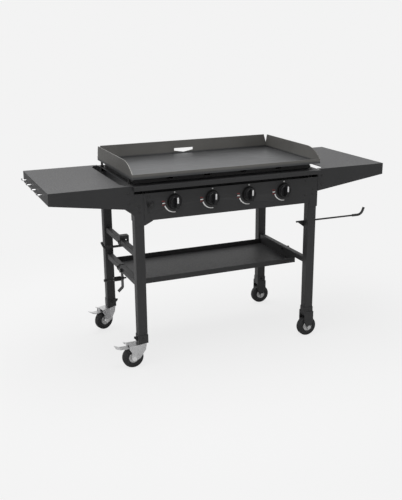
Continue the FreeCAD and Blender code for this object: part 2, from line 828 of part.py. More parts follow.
def igniter_button():
    x, z = igniter_x, igniter_z
    front = -panel_face_y - igniter_flange_thickness - igniter_button_travel - 1.5
    back = -panel_face_y + igniter_button_height - 1.0
    button = rod(igniter_button_radius, (x, back, z), (x, front, z))
    edge = [e for e in button.Edges if e.BoundBox.YMax < front + 0.01]
    return button.makeFillet(1.2, edge)


def lead_y(index):
    """Lanes side by side on the valve tops; the longest lead lies nearest the panel."""
    return valve_rear_y - lead_radius - 0.5 - lead_pitch * index


def ignition_leads():
    leads = []
    start_x = igniter_x + igniter_block_width / 2
    end_y = box_front_y - electrode_flange_radius - 1
    for index, x in enumerate(electrode_x):
        y = lead_y(index)
        route = [(start_x, y, electrode_z), (x, y, electrode_z), (x, end_y, electrode_z)]
        leads.append(bent_rod(route, lead_radius, lead_bend_radius))
    return Part.makeCompound(leads)


def ignition_electrodes():
    rods = []
    start_y = box_front_y - electrode_flange_radius - 1
    for x in electrode_x:
        z = electrode_z
        body = rod(electrode_radius, (x, start_y, z), (x, start_y + electrode_length, z))
        flange = rod(electrode_flange_radius, (x, box_front_y - 2, z), (x, box_front_y, z))
        tip_y = start_y + electrode_length
        wire = rod(electrode_wire_radius, (x, tip_y - 1, z), (x, tip_y + electrode_wire_length, z))
        rods.append(fuse([body, flange, wire]))
    return Part.makeCompound(rods)


# Griddle plate

def side_wall():
    """Side wall outline: flat at the back, then an arc that comes down to the front lip."""
    drop = wall_top_z - lip_top_z
    run = wall_curve_start_y - plate_front_y
    radius = (run ** 2 + drop ** 2) / (2 * drop)
    half_run = run / 2
    mid_z = wall_top_z - radius + math.sqrt(radius ** 2 - half_run ** 2)
    x0 = plate_half_width - wall_thickness
    low_front = Vector(x0, plate_front_y, plate_bottom_z)
    high_front = Vector(x0, plate_front_y, lip_top_z)
    curve_mid = Vector(x0, wall_curve_start_y - half_run, mid_z)
    curve_start = Vector(x0, wall_curve_start_y, wall_top_z)
    high_rear = Vector(x0, plate_rear_y, wall_top_z)
    low_rear = Vector(x0, plate_rear_y, plate_bottom_z)
    edges = [Part.LineSegment(low_front, high_front).toShape()]
    edges.append(Part.Arc(high_front, curve_mid, curve_start).toShape())
    edges.append(Part.LineSegment(curve_start, high_rear).toShape())
    edges.append(Part.LineSegment(high_rear, low_rear).toShape())
    edges.append(Part.LineSegment(low_rear, low_front).toShape())
    return Part.Face(Part.Wire(edges)).extrude(Vector(wall_thickness, 0, 0))


def drain_outline(y):
    """Slot outline with short upright sides and a shallow V bottom."""
    half = drain_slot_width / 2
    x = drain_slot_x
    side_z = drain_slot_top_z - drain_slot_side_height
    low_z = plate_surface_z + drain_slot_lift
    return [(x - half, y, drain_slot_top_z), (x + half, y, drain_slot_top_z), (x + half, y, side_z),
            (x, y, low_z), (x - half, y, side_z)]


def drain_chute():
    """V-shaped spout on the back of the rear wall that sheds grease into the cup."""
    half = drain_slot_width / 2 + chute_sheet
    x = drain_slot_x
    side_z = drain_slot_top_z - drain_slot_side_height
    low_z = plate_surface_z + drain_slot_lift
    t = chute_sheet
    near = [(x - half, side_z), (x, low_z), (x + half, side_z), (x + half, side_z - t), (x, low_z - t - 1),
            (x - half, side_z - t)]
    near = [Vector(px, plate_rear_y, pz) for px, pz in near]
    far = [Vector(p.x, plate_rear_y + chute_length, p.z - chute_drop) for p in near]
    wires = [Part.makePolygon(points + [points[0]]) for points in (near, far)]
    return Part.makeLoft(wires, True, True)


def griddle_plate():
    w = plate_half_width
    base = box(-w, w, plate_front_y, plate_rear_y, plate_bottom_z, plate_surface_z)
    rear = box(-w, w, plate_rear_y - wall_thickness, plate_rear_y, plate_bottom_z, wall_top_z)
    front = box(-w, w, plate_front_y, plate_front_y + wall_thickness, plate_bottom_z, lip_top_z)
    right = side_wall()
    body = fuse([base, rear, front, right, mirror_x(right)])
    notch_low = wall_top_z - corner_notch_depth
    n = corner_notch_width
    notches = []
    for side in (-1, 1):
        x = side * w
        near_y = plate_rear_y - wall_thickness - 1
        over_z = wall_top_z + 1
        rear_cut = [(x, near_y, notch_low), (x, near_y, over_z), (x - side * n, near_y, over_z)]
        notches.append(prism(rear_cut, (0, wall_thickness + 2, 0)))
        side_cut = [(x + side, plate_rear_y, notch_low), (x + side, plate_rear_y, over_z),
                    (x + side, plate_rear_y - n, over_z)]
        notches.append(prism(side_cut, (-side * (wall_thickness + 2), 0, 0)))
    slot_points = drain_outline(plate_rear_y - wall_thickness - 1)
    slot = prism(slot_points, (0, wall_thickness + 2, 0))
    return body.cut(notches + [slot]).fuse(drain_chute()).removeSplitter()


def griddle_feet():
    feet = []
    for x in (-foot_x, foot_x):
        for y in (foot_front_y, foot_rear_y):
            pad_bottom_z = rim_top_z + part_gap
            pad_top_z = pad_bottom_z + foot_pad_height
            pad = rod(foot_radius, (x, y, pad_bottom_z), (x, y, pad_top_z))
            shank = rod(foot_radius * 0.6, (x, y, pad_top_z), (x, y, plate_bottom_z))
            feet.append(fuse([pad, shank]))
    return Part.makeCompound(feet)


# Side shelves

def side_shelf(hooks):
    """Right-hand shelf; the left one is its mirror image. hooks adds the holes for the tool hooks."""
    s = shelf_sheet
    front = -shelf_face_y
    rear = shelf_face_y
    x0 = plate_half_width
    x1 = shelf_inner_x
    x2 = shelf_half_width
    z1 = shelf_top_z
    c = shelf_opening_chamfer
    w = shelf_strip_width
    outline = [(x0, front), (x2, front), (x2, rear), (x0, rear), (x0, rear - w), (x1 - c / 2, rear - w)]
    outline += [(x1, rear - w - c), (x1, front + w + c), (x1 - c / 2, front + w), (x0, front + w)]
    top = prism_z(outline, z1 - s, z1)
    low_outer = z1 - shelf_outer_flange
    low_root = z1 - shelf_root_flange
    root_x = leg_outer_x + bracket_sheet
    flange = [(root_x, z1 - s), (root_x, low_root), (x2, low_outer), (x2, z1 - s)]
    clear_x = rim_half_width + 1.0
    flange_front = prism_y(flange, front, front + s)
    flange_rear = prism_y(flange, rear - s, rear)
    rim_relief = box(0, clear_x, rear - s - 1, rear + 1, rim_bottom_z - 1, z1 + 1)
    front_relief = box(0, clear_x, front - 1, front + s + 1, rim_top_z - ledge_fold_height - 1, z1 + 1)
    outer = box(x2 - s, x2, front, rear, low_outer, z1)
    hem = box(x1, x1 + shelf_hem_width, front + w + c, rear - w - c, z1 - 2 * s, z1)
    ribs = []
    for x in (x1 + shelf_rib_inset_x / 2, x2 - shelf_rib_inset_x / 2):
        h = shelf_rib_height
        half = shelf_rib_width / 2
        foot = half * 0.5
        rib_z = z1 - s - h
        rib = [(x - half, z1 - s), (x - foot, rib_z), (x + foot, rib_z), (x + half, z1 - s)]
        core = [(x - half + 3, z1 - s), (x - foot + 1, rib_z + s), (x + foot - 1, rib_z + s),
                (x + half - 3, z1 - s)]
        solid = prism_y(rib, front + s, rear - s).cut(prism_y(core, front + s, rear - s))
        ribs.append(solid)
    shelf = fuse([top, flange_front, flange_rear, outer, hem] + ribs)
    shelf = shelf.cut([rim_relief, front_relief])
    holes = []
    if hooks:
        for y in tool_hook_y():
            start = (x2 - s - 1, y, tool_hook_z)
            holes.append(rod(tool_hook_radius + seat_clearance, start, (x2 + 1, y, tool_hook_z)))
    return shelf.cut(holes) if holes else shelf


def left_side_shelf():
    return drilled(mirror_x(side_shelf(True)))


def right_side_shelf():
    return drilled(side_shelf(False))


def tool_hook_y():
    return [tool_hook_first_y + tool_hook_pitch * k for k in range(tool_hook_count)]


def tool_hooks():
    hooks = []
    inner_x = -shelf_half_width + shelf_sheet
    for y in tool_hook_y():
        tip_x = -left_reach + tool_hook_radius
        route = [(inner_x + tool_hook_nut_thickness + 2, y, tool_hook_z), (tip_x, y, tool_hook_z),
                 (tip_x, y, tool_hook_z + tool_hook_rise)]
        hooks.append(bent_rod(route, tool_hook_radius, tool_hook_bend_radius))
        nut_seat = Vector(inner_x, y, tool_hook_z)
        nut = hexagon(tool_hook_nut_radius, tool_hook_nut_thickness, nut_seat, Vector(1, 0, 0))
        bore_radius = tool_hook_radius + seat_clearance
        bore = rod(bore_radius, (inner_x - 1, y, tool_hook_z), (inner_x + 9, y, tool_hook_z))
        hooks.append(nut.cut(bore))
    return Part.makeCompound(hooks)


# Bottom shelf

def thumb_screw_hole(side):
    outer_x = leg_x + crossbar_size / 2
    inner_x = leg_x - crossbar_size / 2 - tray_sheet
    radius = bolt_radius + hole_clearance
    start = (side * outer_x, thumb_screw_y, lower_crossbar_z)
    return rod(radius, start, (side * inner_x, thumb_screw_y, lower_crossbar_z))


def bottom_shelf():
    s = tray_sheet
    w = tray_half_width
    z0 = tray_floor_z
    front_top = z0 + tray_lip_height
    side_top = lower_crossbar_z + crossbar_size / 2
    floor = box(-w, w, tray_front_y, tray_rear_y, z0, z0 + s)
    front = box(-w, w, tray_front_y, tray_front_y + s, z0, front_top)
    rear = box(-w, w, tray_rear_y - s, tray_rear_y, z0, front_top)
    right = box(w - s, w, tray_front_y, tray_rear_y, z0, side_top)
    tray = fuse([floor, front, rear, right, mirror_x(right)])
    return drilled(tray, [thumb_screw_hole(1), thumb_screw_hole(-1)])


def thumb_screws():
    screws = []
    for side in (-1, 1):
        outer_x = side * (leg_x + crossbar_size / 2)
        inward = Vector(-side, 0, 0)
        seat = Vector(outer_x, thumb_screw_y, lower_crossbar_z)
        grip = crossbar_size + tray_sheet
        shank = Part.makeCylinder(bolt_radius, grip + nut_thickness + 1, seat, inward)
        head = Part.makeCylinder(thumb_screw_head_radius, thumb_screw_head_thickness, seat, inward * -1)
        nut_seat = seat + inward * grip
        nut = hexagon(nut_radius, nut_thickness, nut_seat, inward)
        nut = nut.cut(Part.makeCylinder(bolt_radius + seat_clearance, nut_thickness, nut_seat, inward))
        screws += [shank.fuse(head).removeSplitter(), nut]
    return screws


# Towel rod on the front right leg

def towel_route():
    y = towel_rod_y
    start = (towel_rod_inner_x, y, towel_rod_z)
    return [start, (towel_rod_bend_x, y, towel_rod_z - towel_rod_sag), (towel_rod_end_x, y, towel_rod_end_z)]


def towel_rod():
    bar = bent_rod(towel_route(), towel_rod_radius, towel_rod_bend_radius)
    top = towel_rod_z + towel_plate_rise
    low = top - towel_plate_drop
    outline = [(towel_rod_inner_x - 3, top), (leg_outer_x - 1, top), (leg_outer_x - 1, low),
               (leg_inner_x + 2, low)]
    plate = prism_y(outline, -leg_inner_y, -leg_inner_y + towel_plate_sheet)
    return drilled(bar.fuse(plate).removeSplitter())


def towel_rod_tip():
    start, corner, end = [Vector(*p) for p in towel_route()]
    half_turn = (corner - start).getAngle(end - corner) / 2
    setback = towel_rod_bend_radius * math.tan(half_turn)
    first = corner - (corner - start).normalize() * (setback + towel_tip_lead)
    past = end + (end - corner).normalize() * towel_tip_end
    route = [tuple(first), tuple(corner), tuple(past)]
    sleeve = bent_rod(route, towel_tip_radius, towel_rod_bend_radius)
    bore = bent_rod(towel_route(), towel_rod_radius + towel_tip_bore_gap, towel_rod_bend_radius)
    return sleeve.cut(bore)


# Tank hook and tank screw on the left crossbars

def tank_hook():
    """Sheet sleeve on the upper crossbar with the rod that the tank collar hangs from."""
    s = hook_bracket_sheet
    half = crossbar_size / 2
    x0 = hook_bracket_outer_x
    x1 = hook_bracket_inner_x
    y0 = hook_bracket_front_y
    y1 = y0 + hook_bracket_width
    z0 = upper_crossbar_z - half - s
    z1 = upper_crossbar_z + half + hook_bracket_rise
    sleeve = box(x0, x1, y0, y1, z0, z1).cut(box(x0 + s, x1 - s, y0, y1, z0 + s, z1 - s))
    front_plate = box(x0, x1, y0, y0 + s, upper_crossbar_z + half, z1)
    z = hook_rod_z
    route = [(hook_rod_inner_x, hook_rod_y, z), (hook_rod_reach_x, hook_rod_y, z)]
    route.append((hook_tip_x, hook_rod_y, z + hook_tip_rise))
    arm = bent_rod(route, hook_rod_radius, hook_rod_bend_radius)
    weld = box(x0, hook_rod_inner_x, hook_rod_y - hook_rod_radius, hook_rod_y + hook_rod_radius, z, z0)
    return drilled(fuse([sleeve, front_plate, arm, weld]))


def tank_screw_bracket():
    """Channel on the lower crossbar, open towards the tray, with the tongue that holds the screw."""
    s = hook_bracket_sheet
    half = crossbar_size / 2
    x0 = hook_bracket_outer_x
    x1 = -leg_x + half
    y0 = tank_screw_y - tank_tongue_width / 2
    y1 = tank_screw_y + tank_tongue_width / 2
    z0 = lower_crossbar_z - half
    z1 = lower_crossbar_z + half
    channel = box(x0, x1, y0, y1, z0 - s, z1 + s).cut(box(x0 + s, x1, y0, y1, z0, z1))
    foot_z = tank_screw_z - tank_foot_drop
    heel_z = foot_z + tank_foot_reach
    right_x = tank_tongue_x + tank_tongue_sheet
    mid_x = tank_tongue_x + tank_tongue_sheet / 2
    tongue = box(tank_tongue_x, right_x, y0, y1, heel_z, z0 - s)
    foot = strip([(mid_x, heel_z + 2), (mid_x - 2, heel_z - 4), (mid_x - tank_foot_reach, foot_z)],
                 tank_tongue_sheet, y0 + 3, y1 - 3)
    screw_line = (tank_screw_y, tank_screw_z)
    bore_radius = tank_screw_radius + running_clearance
    hole = rod(bore_radius, (tank_tongue_x - 9, *screw_line), (right_x + 9, *screw_line))
    boss = rod(tank_screw_radius * 2, (right_x - 1, *screw_line), (right_x + tank_boss_length, *screw_line))
    return drilled(fuse([channel, tongue, foot, boss]).cut(hole))


def tank_screw():
    y, z = tank_screw_y, tank_screw_z
    shank_left_x = tank_pad_right_x - tank_pad_length / 2
    shank = rod(tank_screw_radius, (shank_left_x, y, z), (tank_screw_inner_x, y, z))
    handle = rod(tank_screw_knob_radius, (tank_knob_left_x, y, z), (tank_knob_right_x, y, z))
    flutes = []
    for k in range(tank_screw_flutes):
        angle = 2 * math.pi * k / tank_screw_flutes
        fy = y + tank_screw_knob_radius * math.cos(angle)
        fz = z + tank_screw_knob_radius * math.sin(angle)
        flute_end = (tank_knob_right_x + 1, fy, fz)
        flutes.append(rod(tank_screw_flute_radius, (tank_knob_left_x - 1, fy, fz), flute_end))
    return shank.fuse(handle.cut(flutes)).removeSplitter()


def tank_screw_pad():
    y, z = tank_screw_y, tank_screw_z
    pad = rod(tank_pad_radius, (tank_pad_tip_x, y, z), (tank_pad_right_x, y, z))
    socket_end_x = tank_pad_right_x - tank_pad_length / 2 - 2 * seat_clearance
    socket_radius = tank_screw_radius + running_clearance
    socket = rod(socket_radius, (socket_end_x, y, z), (tank_pad_right_x + 1, y, z))
    return pad.cut(socket)


# Casters, each built about its own leg axis trailing towards -X, then turned and moved

def place_left(shape, end):
    moved = shape.copy()
    moved.rotate(Vector(0, 0, 0), Vector(0, 0, 1), front_caster_turn if end < 0 else rear_caster_turn)
    moved.translate(Vector(-leg_x, end * leg_y, 0))
    return moved


def place_right(shape, end):
    moved = shape.copy()
    moved.translate(Vector(leg_x, end * leg_y, 0))
    return moved


def wheel_tyre(x):
    w = tyre_half_width
    r = wheel_radius
    e = tyre_edge_radius
    bore = tyre_bore_radius
    corner = (r - e * 0.35, w - e * 0.3)
    half = [(r, w - e), corner, (r - e, w), (bore + 11, w), (bore + 8, w - 3), (bore, w - 3)]
    profile = [(px, -py) for px, py in reversed(half)] + half
    return turned(profile, (x, 0, wheel_z))


def wheel_hub(x):
    bore = axle_radius + running_clearance
    seat = tyre_bore_radius - seat_clearance
    w = tyre_half_width - 3
    h = hub_half_width
    boss = fork_inner_half - part_gap
    half = [(bore, boss), (hub_boss_radius, boss), (hub_boss_radius, h - 4), (hub_flange_radius - 6, h - 4),
            (hub_flange_radius - 4, h), (hub_flange_radius, h), (seat, w)]
    profile = half + [(r, -y) for r, y in reversed(half)]
    return turned(profile, (x, 0, wheel_z))


def axle_bolt(x):
    f = fork_outer_half
    shank = rod(axle_radius, (x, -f - 1, wheel_z), (x, f + 1, wheel_z))
    head = hexagon(axle_radius * 1.7, 5, Vector(x, -f, wheel_z), Vector(0, -1, 0))
    nut = hexagon(axle_radius * 1.7, 6, Vector(x, f, wheel_z), Vector(0, 1, 0))
    return fuse([shank, head, nut])


def swivel_fork():
    """Pressed fork: two cheeks creased towards the nose, under a crown with its raceway boss."""
    ax = -caster_trail
    top = fork_crown_z + fork_crown_sheet
    eye = fork_eye_radius
    turn = math.radians(fork_nose_angle)
    nose_run = fork_nose - fork_crease
    back_x = ax - fork_rear_reach
    crease_x = ax + fork_crease
    nose_x = crease_x + nose_run * math.cos(turn)
    nose_y = fork_inner_half - nose_run * math.sin(turn)
    outer_nose = (nose_x + fork_sheet * math.sin(turn), nose_y + fork_sheet * math.cos(turn))
    outer_crease = (crease_x + fork_sheet * math.tan(turn / 2), fork_outer_half)
    plan = [(back_x, fork_inner_half), (crease_x, fork_inner_half), (nose_x, nose_y)]
    plan += [outer_nose, outer_crease, (back_x, fork_outer_half)]
    side = [(back_x, top), (back_x, top - 15), (ax - eye * 0.8, wheel_z + 30), (ax - eye, wheel_z)]
    side += [(ax - eye * 0.6, wheel_z - eye * 0.8), (ax + eye * 0.6, wheel_z - eye * 0.8)]
    side += [(crease_x, wheel_z - 4), (crease_x + 7, wheel_z - 2)]
    side += [(nose_x - 4, wheel_z + 34), (nose_x + 2, top)]
    cheek = prism_z(plan, 0, top).common(prism_y(side, 0, fork_outer_half + 1))
    rim = [(back_x, fork_outer_half), outer_crease, outer_nose]
    crown = prism_z(rim + [(x, -y) for x, y in reversed(rim)], fork_crown_z, top)
    boss_top = socket_bottom_z - part_gap
    boss = rod(fork_boss_radius, (0, 0, fork_crown_z), (0, 0, boss_top))
    groove_x = outer_crease[0]
    groove_y = fork_outer_half + fork_crease_radius - fork_crease_depth
    groove = rod(fork_crease_radius, (groove_x, groove_y, 0), (groove_x, groove_y, fork_crown_z - 1))
    cheek = cheek.cut(groove)
    far = fork_outer_half + 5
    pin_x = ax + pedal_pin_dx
    holes = [rod(kingpin_radius + running_clearance, (0, 0, fork_crown_z - 1), (0, 0, boss_top + 1))]
    holes.append(rod(axle_radius + seat_clearance, (ax, -far, wheel_z), (ax, far, wheel_z)))
    pin_bore = pedal_pin_radius + running_clearance
    holes.append(rod(pin_bore, (pin_x, -far, pedal_pin_z), (pin_x, far, pedal_pin_z)))
    return fuse([crown, boss, cheek, mirror_y(cheek)]).cut(holes)


def brake_pedal():
    """Rocker between the cheeks: a long step to press down and a short release tab above it."""
    ax = -caster_trail
    half = pedal_width / 2
    pin_x = ax + pedal_pin_dx
    z = pedal_pin_z
    step_line = [(pin_x + 4, z), (ax - 24, z - 6), (ax - 67, z - 12), (ax - 80, z - 19)]
    step = strip(step_line, pedal_sheet, -half, half)
    tab_line = [(ax - 25, z - 6.5), (ax - 27, z + 15), (ax - 41, z + 20)]
    tab = strip(tab_line, pedal_sheet, -half * 0.6, half * 0.6)
    pin = rod(pedal_pin_radius, (pin_x, -fork_outer_half, pedal_pin_z), (pin_x, fork_outer_half, pedal_pin_z))
    return fuse([step, tab, pin])


def fixed_fork():
    """Plain channel fork under a right leg: no trail, wheel right below the leg."""
    inner = fork_inner_half
    outer = inner + fixed_fork_web
    half = fixed_fork_width / 2
    web_top = socket_bottom_z
    r = axle_radius + 6
    edge = [(half, fixed_fork_top_z), (half, wheel_z + 30), (r, wheel_z + 4), (r * 0.6, wheel_z - r * 0.7)]
    cheek = edge + [(-x, z) for x, z in reversed(edge)]
    front = prism_y(cheek, -outer, -inner)
    web = box(-half, half, -inner, inner, web_top - fixed_fork_web, web_top)
    axle_hole = rod(axle_radius + seat_clearance, (0, -outer - 1, wheel_z), (0, outer + 1, wheel_z))
    return fuse([front, mirror_y(front), web]).cut(axle_hole)


def fixed_axle():
    outer = fork_inner_half + fixed_fork_web
    shank = rod(axle_radius, (0, -outer - 1, wheel_z), (0, outer + 1, wheel_z))
    head = hexagon(axle_radius * 1.7, 5, Vector(0, -outer, wheel_z), Vector(0, -1, 0))
    nut = hexagon(axle_radius * 1.7, 6, Vector(0, outer, wheel_z), Vector(0, 1, 0))
    return fuse([shank, head, nut])


# Grease cup

def grease_cup():
    x = drain_slot_x
    w = cup_half_width
    s = cup_sheet
    low = cup_top_z - cup_depth
    outer = box(x - w, x + w, cup_front_y, cup_rear_y, low, cup_top_z)
    outer = outer.makeFillet(cup_corner_radius, edges_along(outer, (0, 0, 1)))
    hollow = box(x - w + s, x + w - s, cup_front_y + s, cup_rear_y - s, low + s, cup_top_z + 1)
    hollow = hollow.makeFillet(cup_corner_radius - s, edges_along(hollow, (0, 0, 1)))
    f = w + cup_flange_width
    flange = box(x - f, x + f, cup_front_y + 9, cup_rear_y - 9, cup_top_z - s, cup_top_z)
    return outer.fuse(flange).removeSplitter().cut(hollow)


def grease_cup_bracket():
    """Back plate on the burner box with a rail each side that the cup's flanges slide along."""
    x = drain_slot_x
    s = rail_sheet
    outer = cup_half_width + cup_flange_width + 1.0 + s
    inner = outer - s - rail_ledge_width
    low = rail_top_z - rail_height
    back = box(x - outer, x + outer, box_rear_y, box_rear_y + s, low - 2 * bolt_head_radius - 4, rail_top_z)
    pieces = [back]
    for side in (-1, 1):
        a, b = sorted((side * outer, side * (outer - s)))
        pieces.append(box(x + a, x + b, box_rear_y, cup_rear_y, low, rail_top_z))
        a, b = sorted((side * outer, side * inner))
        pieces.append(box(x + a, x + b, box_rear_y, cup_rear_y, rail_top_z - s, rail_top_z))
    return drilled(fuse(pieces))


def frame_bolts():
    solids = []
    for place in fastener_places():
        solids += fastener(place)
    solids += thumb_screws()
    for end in (-1, 1):
        solids.append(place_right(fixed_axle(), end))
    return Part.makeCompound(solids)


def all_parts():
    parts = {}
    for side, side_name in ((-1, "left"), (1, "right")):
        for end, end_name in ((-1, "front"), (1, "rear")):
            parts[end_name + "_" + side_name + "_leg"] = leg(side, end)
    parts["crossbars"] = crossbars()
    parts["leg_brackets"] = leg_brackets()
    parts["leg_sockets"] = leg_sockets()
    parts["burner_box"] = burner_box()
    parts["control_panel"] = control_panel()
    parts["knob_bezels"] = knob_bezels()
    parts["gas_manifold"] = gas_manifold()
    parts["valve_bodies"] = valve_bodies()
    for number, x in enumerate(burner_x, 1):
        parts["valve_plug_%d" % number] = valve_plug(x)
        parts["valve_stem_%d" % number] = valve_stem(x)
        parts["knob_%d" % number] = knob(x)
    parts["burners"] = burners()
    parts["igniter_housing"] = igniter_housing()
    parts["igniter_button"] = igniter_button()
    parts["ignition_leads"] = ignition_leads()
    parts["ignition_electrodes"] = ignition_electrodes()
    parts["griddle_plate"] = griddle_plate()
    parts["griddle_feet"] = griddle_feet()
    parts["left_side_shelf"] = left_side_shelf()
    parts["right_side_shelf"] = right_side_shelf()
    parts["tool_hooks"] = tool_hooks()
    parts["bottom_shelf"] = bottom_shelf()
    parts["towel_rod"] = towel_rod()
    parts["towel_rod_tip"] = towel_rod_tip()
    parts["tank_hook"] = tank_hook()
    parts["tank_screw_bracket"] = tank_screw_bracket()
    parts["tank_screw"] = tank_screw()
    parts["tank_screw_pad"] = tank_screw_pad()
    parts["grease_cup"] = grease_cup()
    parts["grease_cup_bracket"] = grease_cup_bracket()
    parts["frame_bolts"] = frame_bolts()
    parts["fixed_caster_forks"] = Part.makeCompound([place_right(fixed_fork(), e) for e in (-1, 1)])
    for end, end_name in ((-1, "front"), (1, "rear")):
        left = end_name + "_left_"
        right = end_name + "_right_"
        parts[left + "fork"] = place_left(swivel_fork(), end)
        parts[left + "axle"] = place_left(axle_bolt(-caster_trail), end)
        parts[left + "brake_pedal"] = place_left(brake_pedal(), end)
        parts[left + "tyre"] = place_left(wheel_tyre(-caster_trail), end)
        parts[left + "hub"] = place_left(wheel_hub(-caster_trail), end)
        parts[right + "tyre"] = place_right(wheel_tyre(0), end)
        parts[right + "hub"] = place_right(wheel_hub(0), end)
    return parts


to_origin = Vector(-origin_x, -origin_y, 0)
os.makedirs("parts", exist_ok=True)
parts = all_parts()
for name, shape in parts.items():
    shape = shape.copy()
    shape.translate(to_origin)
    shape.exportStep("parts/%s.step" % name)
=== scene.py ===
"""Finishes and moulded pieces of an outdoor gas griddle station, with a studio floor, lamps and camera.

The construction model is loaded as a fixed frame. It is in metres, +X to the user's right,
+Y away from the user and +Z up, and every piece made here takes its place from it. The control
panel, leg brackets and front legs are cut copies of the frame's own, which open the gap above the panel.
"""

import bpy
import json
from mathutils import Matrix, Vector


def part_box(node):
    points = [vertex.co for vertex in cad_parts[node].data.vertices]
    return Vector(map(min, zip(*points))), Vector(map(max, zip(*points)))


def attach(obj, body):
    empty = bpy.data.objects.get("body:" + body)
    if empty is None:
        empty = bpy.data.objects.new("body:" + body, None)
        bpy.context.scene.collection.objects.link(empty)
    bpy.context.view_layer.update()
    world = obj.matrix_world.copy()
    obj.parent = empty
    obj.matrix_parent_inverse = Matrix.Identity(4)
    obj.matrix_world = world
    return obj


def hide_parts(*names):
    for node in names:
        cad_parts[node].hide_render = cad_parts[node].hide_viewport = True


bl_info = {
    "name": "Gas Griddle Station",
    "version": (1, 0, 0),
    "blender": (4, 5, 0),
    "location": "3D View > Sidebar > Griddle",
    "description": "Dresses the griddle station's frame with its knobs, dial prints, casters and finishes",
    "category": "Object",
}

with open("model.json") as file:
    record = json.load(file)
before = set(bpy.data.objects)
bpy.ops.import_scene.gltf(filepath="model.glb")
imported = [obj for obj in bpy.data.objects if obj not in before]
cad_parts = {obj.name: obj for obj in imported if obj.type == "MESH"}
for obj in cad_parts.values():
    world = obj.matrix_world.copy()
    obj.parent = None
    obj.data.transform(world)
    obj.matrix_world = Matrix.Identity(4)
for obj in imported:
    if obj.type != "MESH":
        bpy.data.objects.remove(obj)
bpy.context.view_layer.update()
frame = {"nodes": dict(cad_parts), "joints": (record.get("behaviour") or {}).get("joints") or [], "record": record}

import json
import math

import bmesh
import bpy
from bpy.props import FloatProperty, FloatVectorProperty, IntProperty, PointerProperty
from mathutils import Euler, Matrix, Quaternion, Vector

MM = 0.001
SIDES = ("front_left", "rear_left", "front_right", "rear_right")
LEFT_SIDES = ("front_left", "rear_left")
BURNERS = (1, 2, 3, 4)

# Values that stay fixed; lengths are in metres unless the name gives another unit

TOUCHING = 1e-6
ROUND_STEPS = 96
SHEET_BEND = 2.5 * MM
BRACKET_SLOT_DEPTH = 12 * MM
BRACKET_MARGIN = 0.3 * MM
LEG_SLOT_DEPTH = 42 * MM
OVERCUT = 1 * MM
PRINT_THICKNESS = 0.15 * MM
PEDAL_PIN_DROP = 21.2 * MM
FLOOR_RADIUS = 30
TOP_LAMP_PLACE = (-0.35, 0.15, 2.9)
TOP_LAMP_SIZE = (3.2, 2.4)
KEY_LAMP_PLACE = (-2.4, -2.6, 2.3)
KEY_LAMP_SIZE = (2.0, 2.0)
LAMP_TARGET = (0, 0, 0.6)
SENSOR_WIDTH_MM = 36
VIEW_DISTANCE = 200
BLACK_PLASTIC = (0.012, 0.012, 0.012)


# Settings that a user would change

def colour_property(name, description, colour):
    return FloatVectorProperty(name=name, description=description, subtype="COLOR", size=3, min=0, max=1,
                               default=colour)


def length_property(name, description, length):
    return FloatProperty(name=name, description=description, subtype="DISTANCE", unit="LENGTH", min=0,
                         default=length)


class StudioSettings(bpy.types.PropertyGroup):
    camera_place: FloatVectorProperty(
        name="Camera place", description="Where the camera stands", subtype="TRANSLATION", unit="LENGTH",
        default=(-1.3437, -3.1635, 1.4605))
    camera_yaw: FloatProperty(
        name="Yaw", description="Turn of the view from straight ahead towards the right", subtype="ANGLE",
        default=math.radians(22.82))
    camera_pitch: FloatProperty(
        name="Pitch", description="How far the view looks down", subtype="ANGLE", default=math.radians(16.90))
    camera_roll: FloatProperty(
        name="Roll", description="Tilt of the picture, counter-clockwise", subtype="ANGLE",
        default=math.radians(0.5))
    lens: FloatProperty(
        name="Lens", description="Focal length in millimetres on a 36 mm sensor", default=53.37)
    backdrop: colour_property("Backdrop", "Colour of the studio's floor and wall", (0.896, 0.896, 0.896))
    shadow_depth: FloatProperty(
        name="Shadow depth", description="How much of the floor's own shading shows near the object",
        subtype="FACTOR", min=0, max=1, default=0.16)
    shadow_reach: length_property("Shadow reach", "Radius of floor that shows shading", 1.9)
    floor_lift: FloatProperty(
        name="Floor lift", description="Brightening that makes up for the shading of open floor", min=1,
        default=1.035)
    fill: FloatProperty(name="Fill", description="Strength of the light from all round", min=0, default=0.35)
    top_power: FloatProperty(
        name="Top lamp", description="Power of the soft lamp overhead", unit="POWER", min=0, default=80)
    key_power: FloatProperty(
        name="Key lamp", description="Power of the soft lamp at the front left", unit="POWER", min=0,
        default=6)


class FinishSettings(bpy.types.PropertyGroup):
    coat: colour_property("Powder coat", "Colour of the black powder coat", (0.0285, 0.0285, 0.0295))
    coat_shine: FloatProperty(
        name="Coat shine", description="How much the powder coat mirrors at a low angle", subtype="FACTOR",
        min=0, max=1, default=0.40)
    coat_roughness: FloatProperty(
        name="Coat roughness", description="Roughness of the powder coat", subtype="FACTOR", min=0, max=1,
        default=0.5)
    plate: colour_property("Plate", "Colour of the rolled griddle plate", (0.098, 0.100, 0.103))
    # Colour of the plate's walls: an oil stain, raised well above the plate's own colour as painted light on the
    # walls
    plate_stain: colour_property(
        "Plate stain", "Colour of the oiled walls of the plate", (0.162, 0.158, 0.149))
    zinc: colour_property("Zinc", "Colour of the bright zinc plating", (0.60, 0.60, 0.605))
    rubber: colour_property("Rubber", "Colour of the tyres", (0.012, 0.012, 0.013))
    knob: colour_property("Knob", "Colour of the knobs", (0.010, 0.010, 0.011))
    print_white: colour_property("White print", "Colour of the dial marks", (0.93, 0.93, 0.92))
    print_red: colour_property(
        "Red print", "Colour of the marks beside the lighting position", (0.17, 0.02, 0.018))


